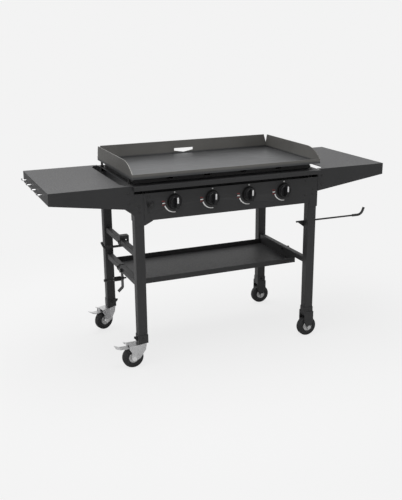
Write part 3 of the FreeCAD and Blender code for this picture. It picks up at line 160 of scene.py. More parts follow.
class KnobSettings(bpy.types.PropertyGroup):
    grip_width: length_property("Grip width", "Width of the bar across the knob", 13 * MM)
    pointer_width: length_property("Pointer width", "Width of the bright bar on the grip", 7 * MM)
    pointer_length: length_property("Pointer length", "Length of the bright bar on the grip", 25.5 * MM)
    dial_radius: length_property("Dial radius", "Radius of the printed arc round a knob", 46 * MM)
    dot_height: length_property("Dot height", "Height of the printed dot above the shaft", 40 * MM)
    arc_wide: length_property("Arc start", "Width of the printed arc where the flame is high", 5.6 * MM)
    arc_narrow: length_property("Arc end", "Width of the printed arc where the flame is low", 2.6 * MM)


class PanelSettings(bpy.types.PropertyGroup):
    gap: length_property("Gap", "Open height between the ledge's fold and the panel", 15 * MM)


class CasterSettings(bpy.types.PropertyGroup):
    tread_grooves: IntProperty(
        name="Grooves", description="Number of fine grooves round each tyre", min=0, default=2)
    groove_depth: length_property("Groove depth", "Depth of the grooves in the tread", 0.7 * MM)


# Modelling helpers

def body_of(node):
    return next(body for body, members in frame["record"]["behaviour"]["bodies"].items() if node in members)


def slot_of(node):
    return next(part["material_slot"] for part in frame["record"]["subparts"] if part["node"] == node)


def start_fresh():
    """Leaves edit mode and clears the selection, so that the next operator acts on its own piece alone."""
    if bpy.context.object and bpy.context.object.mode != "OBJECT":
        bpy.ops.object.mode_set(mode="OBJECT")
    bpy.ops.object.select_all(action="DESELECT")


def select_only(piece):
    start_fresh()
    piece.select_set(True)
    bpy.context.view_layer.objects.active = piece


def named(name):
    piece = bpy.context.active_object
    piece.name = name
    return piece


def settle(piece):
    """Puts the piece's place, turn and scale into its mesh."""
    select_only(piece)
    bpy.ops.object.transform_apply(location=True, rotation=True, scale=True)
    return piece


def edit(piece, kind="FACE"):
    select_only(piece)
    bpy.ops.object.mode_set(mode="EDIT")
    bpy.ops.mesh.select_mode(type=kind)
    bpy.ops.mesh.select_all(action="DESELECT")


def pick(piece, kind, wanted):
    """Selects, in edit mode, only the faces or edges for which wanted is true."""
    mesh = bmesh.from_edit_mesh(piece.data)
    for item in list(mesh.verts) + list(mesh.edges) + list(mesh.faces):
        item.select = False
    for item in getattr(mesh, kind):
        if wanted(item):
            item.select_set(True)
    bmesh.update_edit_mesh(piece.data)


def edge_runs(edge, axis):
    direction = (edge.verts[1].co - edge.verts[0].co).normalized()
    return abs(direction[axis]) > 0.999


def apply_modifier(piece, kind, **settings):
    select_only(piece)
    modifier = piece.modifiers.new(kind.title(), kind)
    for key, value in settings.items():
        setattr(modifier, key, value)
    bpy.ops.object.modifier_apply(modifier=modifier.name)
    return piece


def smooth(piece, angle=32):
    select_only(piece)
    bpy.ops.object.shade_smooth_by_angle(angle=math.radians(angle))
    return piece


def block(name, low, high):
    """Box primitive between two corners, for a piece that is then shaped in edit mode."""
    start_fresh()
    low, high = Vector(low), Vector(high)
    bpy.ops.mesh.primitive_cube_add(size=1, location=(low + high) / 2)
    piece = named(name)
    piece.scale = high - low
    return settle(piece)


def spun(name, outline):
    """Closed outline of (radius, along) points, turned about the Y axis."""
    start_fresh()
    bpy.ops.mesh.primitive_circle_add(vertices=len(outline), radius=0.01, fill_type="NOTHING")
    piece = named(name)
    for vertex, (radius, along) in zip(piece.data.vertices, outline):
        vertex.co = (radius, along, 0)
    edit(piece, "EDGE")
    bpy.ops.mesh.select_all(action="SELECT")
    bpy.ops.mesh.spin(steps=ROUND_STEPS, angle=2 * math.pi, center=(0, 0, 0), axis=(0, 1, 0))
    bpy.ops.mesh.select_all(action="SELECT")
    bpy.ops.mesh.remove_doubles(threshold=TOUCHING)
    bpy.ops.mesh.delete_loose()
    bpy.ops.mesh.select_all(action="SELECT")
    bpy.ops.mesh.normals_make_consistent(inside=False)
    bpy.ops.object.mode_set(mode="OBJECT")
    return smooth(piece)


def folded_sheet(name, route, width, thickness):
    """Strip of sheet extruded along (x, z) points, with rounded bends."""
    start_fresh()
    bpy.ops.mesh.primitive_plane_add(size=1)
    sheet = named(name)
    half = width / 2
    first = [(x, y, z) for y in (-half, half) for x, z in route[:2]]
    for vertex, corner in zip(sheet.data.vertices, first):
        vertex.co = corner
    edit(sheet, "EDGE")
    for before, after in zip(route[1:], route[2:]):
        pick(sheet, "edges", lambda e: all(abs(v.co.x - before[0]) < TOUCHING for v in e.verts))
        step = (after[0] - before[0], 0, after[1] - before[1])
        bpy.ops.mesh.extrude_region_move(TRANSFORM_OT_translate={"value": step})
    pick(sheet, "edges", lambda e: len(e.link_faces) == 2)
    bpy.ops.mesh.bevel(offset=SHEET_BEND, segments=3, profile=0.5)
    bpy.ops.object.mode_set(mode="OBJECT")
    apply_modifier(sheet, "SOLIDIFY", thickness=thickness, offset=0)
    edit(sheet)
    bpy.ops.mesh.select_all(action="SELECT")
    bpy.ops.mesh.normals_make_consistent(inside=False)
    bpy.ops.object.mode_set(mode="OBJECT")
    return sheet


def joined(piece, others):
    """Unites the other pieces with the first."""
    for other in others:
        apply_modifier(piece, "BOOLEAN", operation="UNION", solver="EXACT", object=other)
        discard(other)
    return smooth(piece)


def moved(piece, place, turn_z=0.0):
    piece.data.transform(Matrix.Translation(place) @ Matrix.Rotation(turn_z, 4, "Z"))
    return piece


def copied(piece, name, place, turn_z=0.0):
    """Copy with its own mesh, at a place."""
    copy = piece.copy()
    copy.data = piece.data.copy()
    copy.name = name
    bpy.context.scene.collection.objects.link(copy)
    return moved(copy, place, turn_z)


def discard(piece):
    bpy.data.objects.remove(piece)


def dress(piece, finish, node, stands_for=True):
    """Gives a piece its finish, and sets it on the body of a CAD node that it may stand for."""
    piece.data.materials.clear()
    piece.data.materials.append(finish)
    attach(piece, body_of(node))
    if stands_for:
        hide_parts(node)
    return piece


def paint(nodes, finish):
    for name in nodes:
        mesh = frame["nodes"][name].data
        mesh.materials.clear()
        mesh.materials.append(finish)


# Material helpers

def add_node(tree, kind, sockets=None, **settings):
    node = tree.nodes.new(kind)
    for key, value in settings.items():
        setattr(node, key, value)
    for key, value in (sockets or {}).items():
        if isinstance(value, bpy.types.NodeSocket):
            tree.links.new(value, node.inputs[key])
        else:
            node.inputs[key].default_value = value
    return node


def new_material(name, roughness, metallic=0.0):
    material = bpy.data.materials.new(name)
    material.use_nodes = True
    tree = material.node_tree
    shader = tree.nodes["Principled BSDF"]
    shader.inputs["Roughness"].default_value = roughness
    shader.inputs["Metallic"].default_value = metallic
    return material, tree, shader


def place_socket(tree, stretch=(1, 1, 1)):
    coordinates = add_node(tree, "ShaderNodeTexCoord")
    mapping = add_node(tree, "ShaderNodeMapping", {"Vector": coordinates.outputs["Object"], "Scale": stretch})
    return mapping.outputs["Vector"]


def noise(tree, scale, detail=2.0, stretch=(1, 1, 1), distortion=0.0):
    texture = add_node(tree, "ShaderNodeTexNoise", {"Vector": place_socket(tree, stretch), "Scale": scale,
                                                    "Detail": detail, "Distortion": distortion})
    return texture.outputs["Fac"]


def spread(tree, value, low, high, from_low=0.35, from_high=0.65):
    """Value mapped so that from_low..from_high becomes low..high."""
    node = add_node(tree, "ShaderNodeMapRange", {"Value": value, "From Min": from_low, "From Max": from_high,
                                                 "To Min": low, "To Max": high})
    return node.outputs["Result"]


def blend(tree, factor, first, second):
    node = tree.nodes.new("ShaderNodeMix")
    node.data_type = "RGBA"
    for index, value in ((0, factor), (6, first), (7, second)):
        if isinstance(value, bpy.types.NodeSocket):
            tree.links.new(value, node.inputs[index])
        else:
            node.inputs[index].default_value = value
    return node.outputs[2]


def rgba(colour, share=1.0):
    return (colour[0] * share, colour[1] * share, colour[2] * share, 1.0)


def tinted(tree, factor, colour, dark, light):
    """A colour that goes from its dark share to its light share as the factor goes from 0 to 1."""
    return blend(tree, factor, rgba(colour, dark), rgba(colour, light))


def upward_part(tree, vector):
    return add_node(tree, "ShaderNodeSeparateXYZ", {"Vector": vector}).outputs["Z"]


def set_colour(tree, shader, socket):
    tree.links.new(socket, shader.inputs["Base Color"])


def set_roughness(tree, shader, socket):
    tree.links.new(socket, shader.inputs["Roughness"])


def set_bump(tree, shader, height, distance, strength=1.0):
    node = add_node(tree, "ShaderNodeBump", {"Height": height, "Distance": distance, "Strength": strength})
    tree.links.new(node.outputs["Normal"], shader.inputs["Normal"])


# Finishes

def powder_coat(settings):
    """Satin black powder coat: soft clouds of tone, fine orange peel and slightly uneven gloss."""
    rough = settings.coat_roughness
    material, tree, shader = new_material("powder_coat", rough)
    shader.inputs["Specular IOR Level"].default_value = settings.coat_shine
    cloud = spread(tree, noise(tree, scale=4.0, detail=3.0), 0.0, 1.0)
    set_colour(tree, shader, tinted(tree, cloud, settings.coat, 0.9, 1.14))
    gloss = noise(tree, scale=160.0, detail=2.0)
    set_roughness(tree, shader, spread(tree, gloss, rough - 0.05, rough + 0.06))
    set_bump(tree, shader, noise(tree, scale=950.0, detail=2.0), distance=0.00012, strength=0.6)
    return material


def rolled_steel(settings, surface_z):
    """Thick rolled plate: grain along its length, cloudy mill scale, and on the walls a warmer oil stain that is
    also painted light, lighter on their side faces than on their upward faces.
    """
    material, tree, shader = new_material("rolled_steel", 0.42, metallic=1.0)
    grain = noise(tree, scale=90.0, detail=5.0, stretch=(0.12, 1.0, 1.0))
    cloud = noise(tree, scale=5.0, detail=5.0, distortion=0.4)
    plain = tinted(tree, spread(tree, cloud, 0, 1), settings.plate, 0.92, 1.10)
    # The walls take the oil stain's colour, raised as painted light so that the walls read lighter than the plate
    stain_and_light = settings.plate_stain
    oiled_and_painted_light = tinted(tree, spread(tree, cloud, 0, 1), stain_and_light, 0.9, 1.1)
    height = upward_part(tree, place_socket(tree))
    on_wall = spread(tree, height, 0.0, 1.0, surface_z + 1 * MM, surface_z + 9 * MM)
    # Upward faces of the walls get 0.6 of that colour, close to the plate's own, so the painted lightening stays
    # on the side faces
    facing = upward_part(tree, add_node(tree, "ShaderNodeNewGeometry").outputs["Normal"])
    on_edge = add_node(tree, "ShaderNodeMath", {0: spread(tree, facing, 0.0, 1.0, 0.7, 0.95), 1: on_wall},
                       operation="MULTIPLY").outputs[0]
    walls = blend(tree, on_edge, oiled_and_painted_light, rgba(stain_and_light, 0.6))
    set_colour(tree, shader, blend(tree, on_wall, plain, walls))
    tree.links.new(spread(tree, on_wall, 1.0, 0.45, 0.0, 1.0), shader.inputs["Metallic"])
    set_roughness(tree, shader, spread(tree, grain, 0.37, 0.47, 0.3, 0.7))
    set_bump(tree, shader, grain, distance=0.00010, strength=0.5)
    return material


def bright_zinc(settings, name="bright_zinc", roughness=0.34):
    """Bright zinc plate with faint crystals and brushed unevenness."""
    material, tree, shader = new_material(name, roughness, metallic=1.0)
    crystals = add_node(tree, "ShaderNodeTexVoronoi", {"Vector": place_socket(tree), "Scale": 260.0})
    tone = add_node(tree, "ShaderNodeSeparateColor", {"Color": crystals.outputs["Color"]}).outputs["Red"]
    set_colour(tree, shader, tinted(tree, tone, settings.zinc, 0.92, 1.06))
    gloss = noise(tree, scale=120.0, detail=3.0)
    set_roughness(tree, shader, spread(tree, gloss, roughness - 0.07, roughness + 0.08))
    set_bump(tree, shader, noise(tree, scale=500.0, detail=2.0), distance=0.00005, strength=0.5)
    return material


def moulded(name, colour, roughness, grain=900.0, depth=0.00006, shine=0.5):
    """Moulded plastic or rubber with a fine skin."""
    material, tree, shader = new_material(name, roughness)
    shader.inputs["Specular IOR Level"].default_value = shine
    cloud = spread(tree, noise(tree, scale=30.0, detail=3.0), 0.0, 1.0)
    set_colour(tree, shader, tinted(tree, cloud, colour, 0.88, 1.15))
    gloss = noise(tree, scale=220.0, detail=2.0)
    set_roughness(tree, shader, spread(tree, gloss, roughness - 0.05, roughness + 0.05))
    set_bump(tree, shader, noise(tree, scale=grain, detail=2.0), distance=depth, strength=0.5)
    return material


def metal(name, colour, roughness, stretch=(1, 1, 1)):
    """Plain turned, drawn or cast metal with fine lines."""
    material, tree, shader = new_material(name, roughness, metallic=1.0)
    lines = noise(tree, scale=300.0, detail=3.0, stretch=stretch)
    set_colour(tree, shader, tinted(tree, spread(tree, lines, 0, 1), colour, 0.9, 1.07))
    gloss = noise(tree, scale=60.0, detail=3.0)
    set_roughness(tree, shader, spread(tree, gloss, roughness - 0.06, roughness + 0.08))
    set_bump(tree, shader, lines, distance=0.00005, strength=0.4)
    return material


def printed(name, colour):
    """Screen print: nearly even, with a faint mottle where the ink is thinner."""
    material, tree, shader = new_material(name, 0.5)
    mottle = spread(tree, noise(tree, scale=600.0, detail=2.0), 0.0, 1.0)
    set_colour(tree, shader, tinted(tree, mottle, colour, 0.93, 1.03))
    set_bump(tree, shader, mottle, distance=0.00002, strength=0.4)
    return material


# Pieces

class StudioOperator(bpy.types.Operator):
    """Sets up the pale floor, the soft lamps and the camera"""
    bl_idname = "griddle.studio"
    bl_label = "Studio"

    def execute(self, context):
        settings = context.scene.griddle_studio
        self.make_floor(settings)
        self.make_world(settings)
        self.make_lamp("top_lamp", TOP_LAMP_PLACE, TOP_LAMP_SIZE, settings.top_power)
        self.make_lamp("key_lamp", KEY_LAMP_PLACE, KEY_LAMP_SIZE, settings.key_power)
        self.make_camera(settings)
        context.scene.view_settings.view_transform = "Standard"
        return {"FINISHED"}

    def seen_directly(self, tree, kinds=("Is Glossy Ray", "Is Transmission Ray")):
        """1 for rays that show the background itself, or its image in metal or glass."""
        path = add_node(tree, "ShaderNodeLightPath")
        total = path.outputs["Is Camera Ray"]
        for kind in kinds:
            node = add_node(tree, "ShaderNodeMath", {0: total, 1: path.outputs[kind]}, operation="MAXIMUM")
            total = node.outputs[0]
        return total

    def make_floor(self, settings):
        start_fresh()
        bpy.ops.mesh.primitive_circle_add(vertices=ROUND_STEPS, radius=FLOOR_RADIUS, fill_type="NGON")
        floor = named("studio_floor")
        material, tree, shader = new_material("studio_floor", 0.9)
        shader.inputs["Base Color"].default_value = rgba(settings.backdrop)
        shader.inputs["Specular IOR Level"].default_value = 0.0
        far = add_node(tree, "ShaderNodeVectorMath", {0: place_socket(tree)}, operation="LENGTH")
        reach = settings.shadow_reach
        near = add_node(tree, "ShaderNodeMapRange", {"Value": far.outputs["Value"], "From Min": 0.5 * reach,
                                                     "From Max": reach, "To Min": 1.0, "To Max": 0.0},
                        interpolation_type="SMOOTHSTEP").outputs["Result"]
        lift = spread(tree, near, 1.0, settings.floor_lift, 0.0, 1.0)
        share = spread(tree, near, 0.0, settings.shadow_depth, 0.0, 1.0)
        glow = add_node(tree, "ShaderNodeEmission", {"Color": rgba(settings.backdrop), "Strength": lift})
        shaded = add_node(tree, "ShaderNodeMixShader", {0: share, 1: glow.outputs["Emission"],
                                                        2: shader.outputs["BSDF"]})
        seen = self.seen_directly(tree, ("Is Transmission Ray",))
        chosen = add_node(tree, "ShaderNodeMixShader", {0: seen, 1: shader.outputs["BSDF"],
                                                        2: shaded.outputs["Shader"]})
        tree.links.new(chosen.outputs["Shader"], tree.nodes["Material Output"].inputs["Surface"])
        floor.data.materials.append(material)

    def make_world(self, settings):
        world = bpy.data.worlds.new("studio_world")
        bpy.context.scene.world = world
        world.use_nodes = True
        tree = world.node_tree
        background = tree.nodes["Background"]
        background.inputs["Color"].default_value = rgba(settings.backdrop)
        strength = spread(tree, self.seen_directly(tree), settings.fill, 1.0, 0.0, 1.0)
        tree.links.new(strength, background.inputs["Strength"])

    def make_lamp(self, name, place, size, power):
        lamp = bpy.data.lights.new(name, "AREA")
        lamp.shape = "RECTANGLE"
        lamp.size, lamp.size_y = size
        lamp.energy = power
        holder = bpy.data.objects.new(name, lamp)
        bpy.context.scene.collection.objects.link(holder)
        holder.location = place
        aim = Vector(LAMP_TARGET) - Vector(place)
        holder.rotation_euler = aim.to_track_quat("-Z", "Y").to_euler()

    def make_camera(self, settings):
        camera = bpy.data.cameras.new("camera")
        camera.lens = settings.lens
        camera.sensor_width = SENSOR_WIDTH_MM
        camera.clip_end = VIEW_DISTANCE
        holder = bpy.data.objects.new("camera", camera)
        bpy.context.scene.collection.objects.link(holder)
        holder.location = settings.camera_place
        level = Euler((math.pi / 2 - settings.camera_pitch, 0, -settings.camera_yaw)).to_quaternion()
        holder.rotation_mode = "QUATERNION"
        holder.rotation_quaternion = level @ Quaternion((0, 0, 1), -settings.camera_roll)
        bpy.context.scene.camera = holder


class SteelworkOperator(bpy.types.Operator):
    """Gives the steelwork its black powder coat, and the bolts their own finish"""
    bl_idname = "griddle.steelwork"
    bl_label = "Coated steelwork"

    def execute(self, context):
        finish = powder_coat(context.scene.griddle_finishes)
        coated = [node for node in frame["nodes"] if slot_of(node) == "black_powder_coat"]
        paint(coated, finish)
        paint(["frame_bolts"], self.bolt_finish(context.scene.griddle_finishes))
        return {"FINISHED"}

    def bolt_finish(self, settings):
        """Black bolts, but bright zinc on the wheel axles near the floor."""
        material, tree, shader = new_material("bolt_finish", 0.42)
        height = upward_part(tree, place_socket(tree))
        tyre_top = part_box("front_right_tyre")[1].z
        black = spread(tree, height, 0.0, 1.0, tyre_top, tyre_top + 5 * MM)
        grain = spread(tree, noise(tree, scale=400.0, detail=2.0), 0.0, 1.0)
        zinc = tinted(tree, grain, settings.zinc, 0.92, 1.06)
        coat = tinted(tree, grain, settings.coat, 0.3, 0.4)
        set_colour(tree, shader, blend(tree, black, zinc, coat))
        tree.links.new(spread(tree, black, 1.0, 0.0, 0.0, 1.0), shader.inputs["Metallic"])
        set_roughness(tree, shader, spread(tree, grain, 0.3, 0.44, 0.0, 1.0))
        set_bump(tree, shader, grain, distance=0.00004, strength=0.4)
        return material


class ControlPanelOperator(bpy.types.Operator):
    """Opens the gap above the control panel, also across the leg brackets and front legs"""
    bl_idname = "griddle.control_panel"
    bl_label = "Control panel"

    def execute(self, context):
        panel_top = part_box("control_panel")[1].z
        cut_z = panel_top - context.scene.griddle_panel.gap
        coat = bpy.data.materials["powder_coat"]
        panel = self.merged_copy("control_panel")
        edit(panel)
        bpy.ops.mesh.select_all(action="SELECT")
        bpy.ops.mesh.bisect(plane_co=(0, 0, cut_z), plane_no=(0, 0, 1), use_fill=True, clear_outer=True)
        bpy.ops.object.mode_set(mode="OBJECT")
        dress(smooth(panel), coat, "control_panel")
        web_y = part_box("leg_brackets")[0].y
        left_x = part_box("front_left_leg")[0].x
        right_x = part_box("front_right_leg")[1].x
        cuts = (("leg_brackets", -BRACKET_MARGIN, BRACKET_SLOT_DEPTH),
                ("front_left_leg", OVERCUT, LEG_SLOT_DEPTH), ("front_right_leg", OVERCUT, LEG_SLOT_DEPTH))
        for node, past_leg, depth in cuts:
            sheet = self.merged_copy(node)
            slot = block("gap_slot", (left_x - past_leg, web_y - OVERCUT, cut_z),
                         (right_x + past_leg, web_y + depth, panel_top))
            apply_modifier(sheet, "BOOLEAN", operation="DIFFERENCE", solver="EXACT", object=slot)
            discard(slot)
            dress(smooth(sheet), coat, node)
        return {"FINISHED"}

    def merged_copy(self, node):
        """Copy of a CAD node's mesh as one welded piece."""
        copy = bpy.data.objects.new(node + "_sheet", frame["nodes"][node].data.copy())
        bpy.context.scene.collection.objects.link(copy)
        edit(copy)
        bpy.ops.mesh.select_all(action="SELECT")
        bpy.ops.mesh.remove_doubles(threshold=TOUCHING)
        bpy.ops.object.mode_set(mode="OBJECT")
        return copy


class PlateOperator(bpy.types.Operator):
    """Gives the griddle plate its rolled steel, and its feet their plastic"""
    bl_idname = "griddle.plate"
    bl_label = "Griddle plate"

    def execute(self, context):
        surface = next(m for m in frame["record"]["mounts"] if m["name"] == "cooking_surface")["pos_m"][2]
        paint(["griddle_plate"], rolled_steel(context.scene.griddle_finishes, surface))
        paint(["griddle_feet"], moulded("foot_plastic", BLACK_PLASTIC, 0.5))
        return {"FINISHED"}


class GasTrainOperator(bpy.types.Operator):
    """Finishes the burners, valves, gas pipe, igniter, leads, dial plates and grease cup"""
    bl_idname = "griddle.gas_train"
    bl_label = "Gas train and cup"

    def execute(self, context):
        paint(["burners"], metal("burner_stainless", (0.55, 0.52, 0.47), 0.36, stretch=(1, 0.05, 1)))
        paint(["gas_manifold"], metal("pipe_steel", (0.42, 0.42, 0.42), 0.4, stretch=(0.05, 1, 1)))
        paint(["valve_bodies"], metal("valve_aluminium", (0.60, 0.60, 0.61), 0.5))
        brass = metal("turned_brass", (0.68, 0.50, 0.22), 0.3, stretch=(1, 6, 1))
        paint(["valve_plug_%d" % i for i in BURNERS], brass)
        paint(["valve_stem_%d" % i for i in BURNERS], metal("stem_steel", (0.5, 0.5, 0.5), 0.35))
        paint(["ignition_leads"], moulded("lead_rubber", (0.02, 0.02, 0.02), 0.5))
        paint(["ignition_electrodes"], moulded("glazed_ceramic", (0.78, 0.76, 0.71), 0.22))
        paint(["igniter_housing"], moulded("igniter_plastic", BLACK_PLASTIC, 0.42))
        paint(["igniter_button"], moulded("button_plastic", (0.02, 0.02, 0.02), 0.3))
        paint(["knob_bezels"], moulded("bezel_plastic", (0.007, 0.007, 0.007), 0.5, shine=0.22))
        paint(["grease_cup"], moulded("cup_enamel", (0.018, 0.018, 0.019), 0.3, grain=300.0))
        return {"FINISHED"}


class KnobsOperator(bpy.types.Operator):
    """Moulds the four knobs with their grip bars and bright pointers"""
    bl_idname = "griddle.knobs"
    bl_label = "Knobs"

    def execute(self, context):
        knobs = context.scene.griddle_knobs
        finishes = context.scene.griddle_finishes
        low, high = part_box("knob_1")
        reach = high.y - low.y
        radius = (high.x - low.x) / 2
        body = self.make_body(radius, reach, knobs)
        pointer = self.make_pointer(radius, reach, knobs)
        plastic = moulded("knob_plastic", finishes.knob, 0.32, grain=1500.0, depth=0.00003, shine=0.35)
        silver = moulded("pointer_silver", (0.93, 0.93, 0.93), 0.28)
        for number in BURNERS:
            node = "knob_%d" % number
            low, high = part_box(node)
            place = Vector(((low.x + high.x) / 2, high.y, (low.z + high.z) / 2))
            dress(copied(body, "knob_%d_moulding" % number, place), plastic, node)
            dress(copied(pointer, "knob_%d_pointer" % number, place), silver, node, stands_for=False)
        discard(body)
        discard(pointer)
        return {"FINISHED"}

    def make_body(self, radius, reach, knobs):
        """Skirt and drum turned about the shaft, joined to a rounded grip bar; back at 0, front at -reach."""
        bore = 4.2 * MM
        drum = 25.0 * MM
        face = -17.0 * MM
        dish = 0.9 * MM
        bore_end = -13 * MM
        outline = [(bore, 0), (radius - 0.6 * MM, 0), (radius, -0.6 * MM), (radius, -3.6 * MM)]
        outline += [(radius - 0.5 * MM, -4.6 * MM), (radius - 1.6 * MM, -5.0 * MM)]
        outline += [(radius - 2.4 * MM, -5.2 * MM), (drum + 0.5 * MM, -14.6 * MM)]
        outline += [(drum, -16.2 * MM), (drum - dish, face), (drum - 2.4 * MM, face)]
        outline += [(drum - 3.4 * MM, face + dish), (0, face + dish), (0, bore_end), (bore, bore_end)]
        body = spun("knob_body", outline)
        half = knobs.grip_width / 2
        inset = 3 * MM
        front = -(reach - 0.4 * MM)
        grip = block("knob_grip", (-half, front, -radius + inset), (half, face + 2 * MM, radius - inset))
        edit(grip, "EDGE")
        pick(grip, "edges", lambda e: edge_runs(e, 1))
        bpy.ops.mesh.bevel(offset=4.2 * MM, segments=6, profile=0.5)
        pick(grip, "edges", lambda e: all(v.co.y < front + TOUCHING for v in e.verts)
             and len(e.link_faces) == 2 and any(abs(f.normal.y) < 0.5 for f in e.link_faces))
        bpy.ops.mesh.bevel(offset=1.6 * MM, segments=4, profile=0.5)
        bpy.ops.object.mode_set(mode="OBJECT")
        apply_modifier(body, "BOOLEAN", operation="UNION", solver="EXACT", object=grip)
        discard(grip)
        return smooth(body, angle=40)

    def make_pointer(self, radius, reach, knobs):
        """Bright inlay on the upper half of the grip's front."""
        half = knobs.pointer_width / 2
        top = radius - 4.2 * MM
        thickness = 1.2 * MM
        pointer = block("knob_pointer", (-half, -reach, top - knobs.pointer_length),
                        (half, -reach + thickness, top))
        edit(pointer, "EDGE")
        pick(pointer, "edges", lambda e: edge_runs(e, 1))
        bpy.ops.mesh.bevel(offset=3.2 * MM, segments=6, profile=0.5)
        pick(pointer, "edges", lambda e: all(v.co.y < -reach + TOUCHING for v in e.verts))
        bpy.ops.mesh.bevel(offset=0.25 * MM, segments=2, profile=0.5)
        bpy.ops.object.mode_set(mode="OBJECT")
        return smooth(pointer, angle=40)


class DialPrintsOperator(bpy.types.Operator):
    """Prints the marks round each knob on the panel"""
    bl_idname = "griddle.dial_prints"
    bl_label = "Dial prints"

    def execute(self, context):
        knobs = context.scene.griddle_knobs
        finishes = context.scene.griddle_finishes
        white = printed("white_print", finishes.print_white)
        red = printed("red_print", finishes.print_red)
        radius = knobs.dial_radius
        tick_width = 12 * MM
        red_width = 14 * MM
        arc = self.band("dial_arc", radius, 199, 276, knobs.arc_wide, knobs.arc_narrow)
        tick = self.band("dial_tick", radius + 3 * MM, 182, 187, tick_width, tick_width)
        upper = self.band("dial_upper_red", radius + 4 * MM, 172, 177, red_width, red_width)
        lower = self.band("dial_lower_red", radius + 5 * MM, 190.5, 195, red_width, red_width)
        dot_shift = 2 * MM
        dot_radius = 3 * MM
        dot = self.dot("dial_dot", (dot_shift, 0, knobs.dot_height), dot_radius)
        panel_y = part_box("control_panel")[0].y
        for number in BURNERS:
            low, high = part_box("knob_%d" % number)
            place = Vector(((low.x + high.x) / 2, panel_y, (low.z + high.z) / 2))
            for pattern, ink in ((arc, white), (tick, white), (dot, white), (upper, red), (lower, red)):
                piece = copied(pattern, "%s_%d" % (pattern.name, number), place)
                dress(piece, ink, "control_panel", stands_for=False)
        for pattern in (arc, tick, upper, lower, dot):
            discard(pattern)
        return {"FINISHED"}

    def band(self, name, radius, start_deg, end_deg, start_width, end_width, steps=28):
        """Flat band round the shaft; angles run counter-clockwise from the right, seen from the front."""
        start_fresh()
        bpy.ops.mesh.primitive_grid_add(x_subdivisions=steps, y_subdivisions=1, size=1)
        piece = named(name)
        for vertex in piece.data.vertices:
            along = vertex.co.x + 0.5
            angle = math.radians(start_deg + (end_deg - start_deg) * along)
            width = start_width + (end_width - start_width) * along
            distance = radius - vertex.co.y * width
            vertex.co = (distance * math.cos(angle), 0, distance * math.sin(angle))
        return self.give_thickness(piece)

    def dot(self, name, place, radius):
        start_fresh()
        bpy.ops.mesh.primitive_circle_add(vertices=28, radius=radius, fill_type="NGON", location=place,
                                          rotation=(math.pi / 2, 0, 0))
        return self.give_thickness(settle(named(name)))

    def give_thickness(self, piece):
        """Raises the print from the panel by its thickness, with the seen side towards the user."""
        edit(piece)
        bpy.ops.mesh.select_all(action="SELECT")
        bpy.ops.mesh.normals_make_consistent(inside=False)
        mesh = bmesh.from_edit_mesh(piece.data)
        if sum(face.normal.y for face in mesh.faces) > 0:
            bpy.ops.mesh.flip_normals()
        bpy.ops.mesh.extrude_region_move(TRANSFORM_OT_translate={"value": (0, -PRINT_THICKNESS, 0)})
        bpy.ops.mesh.select_all(action="SELECT")
        bpy.ops.mesh.normals_make_consistent(inside=False)
        bpy.ops.object.mode_set(mode="OBJECT")
        return piece


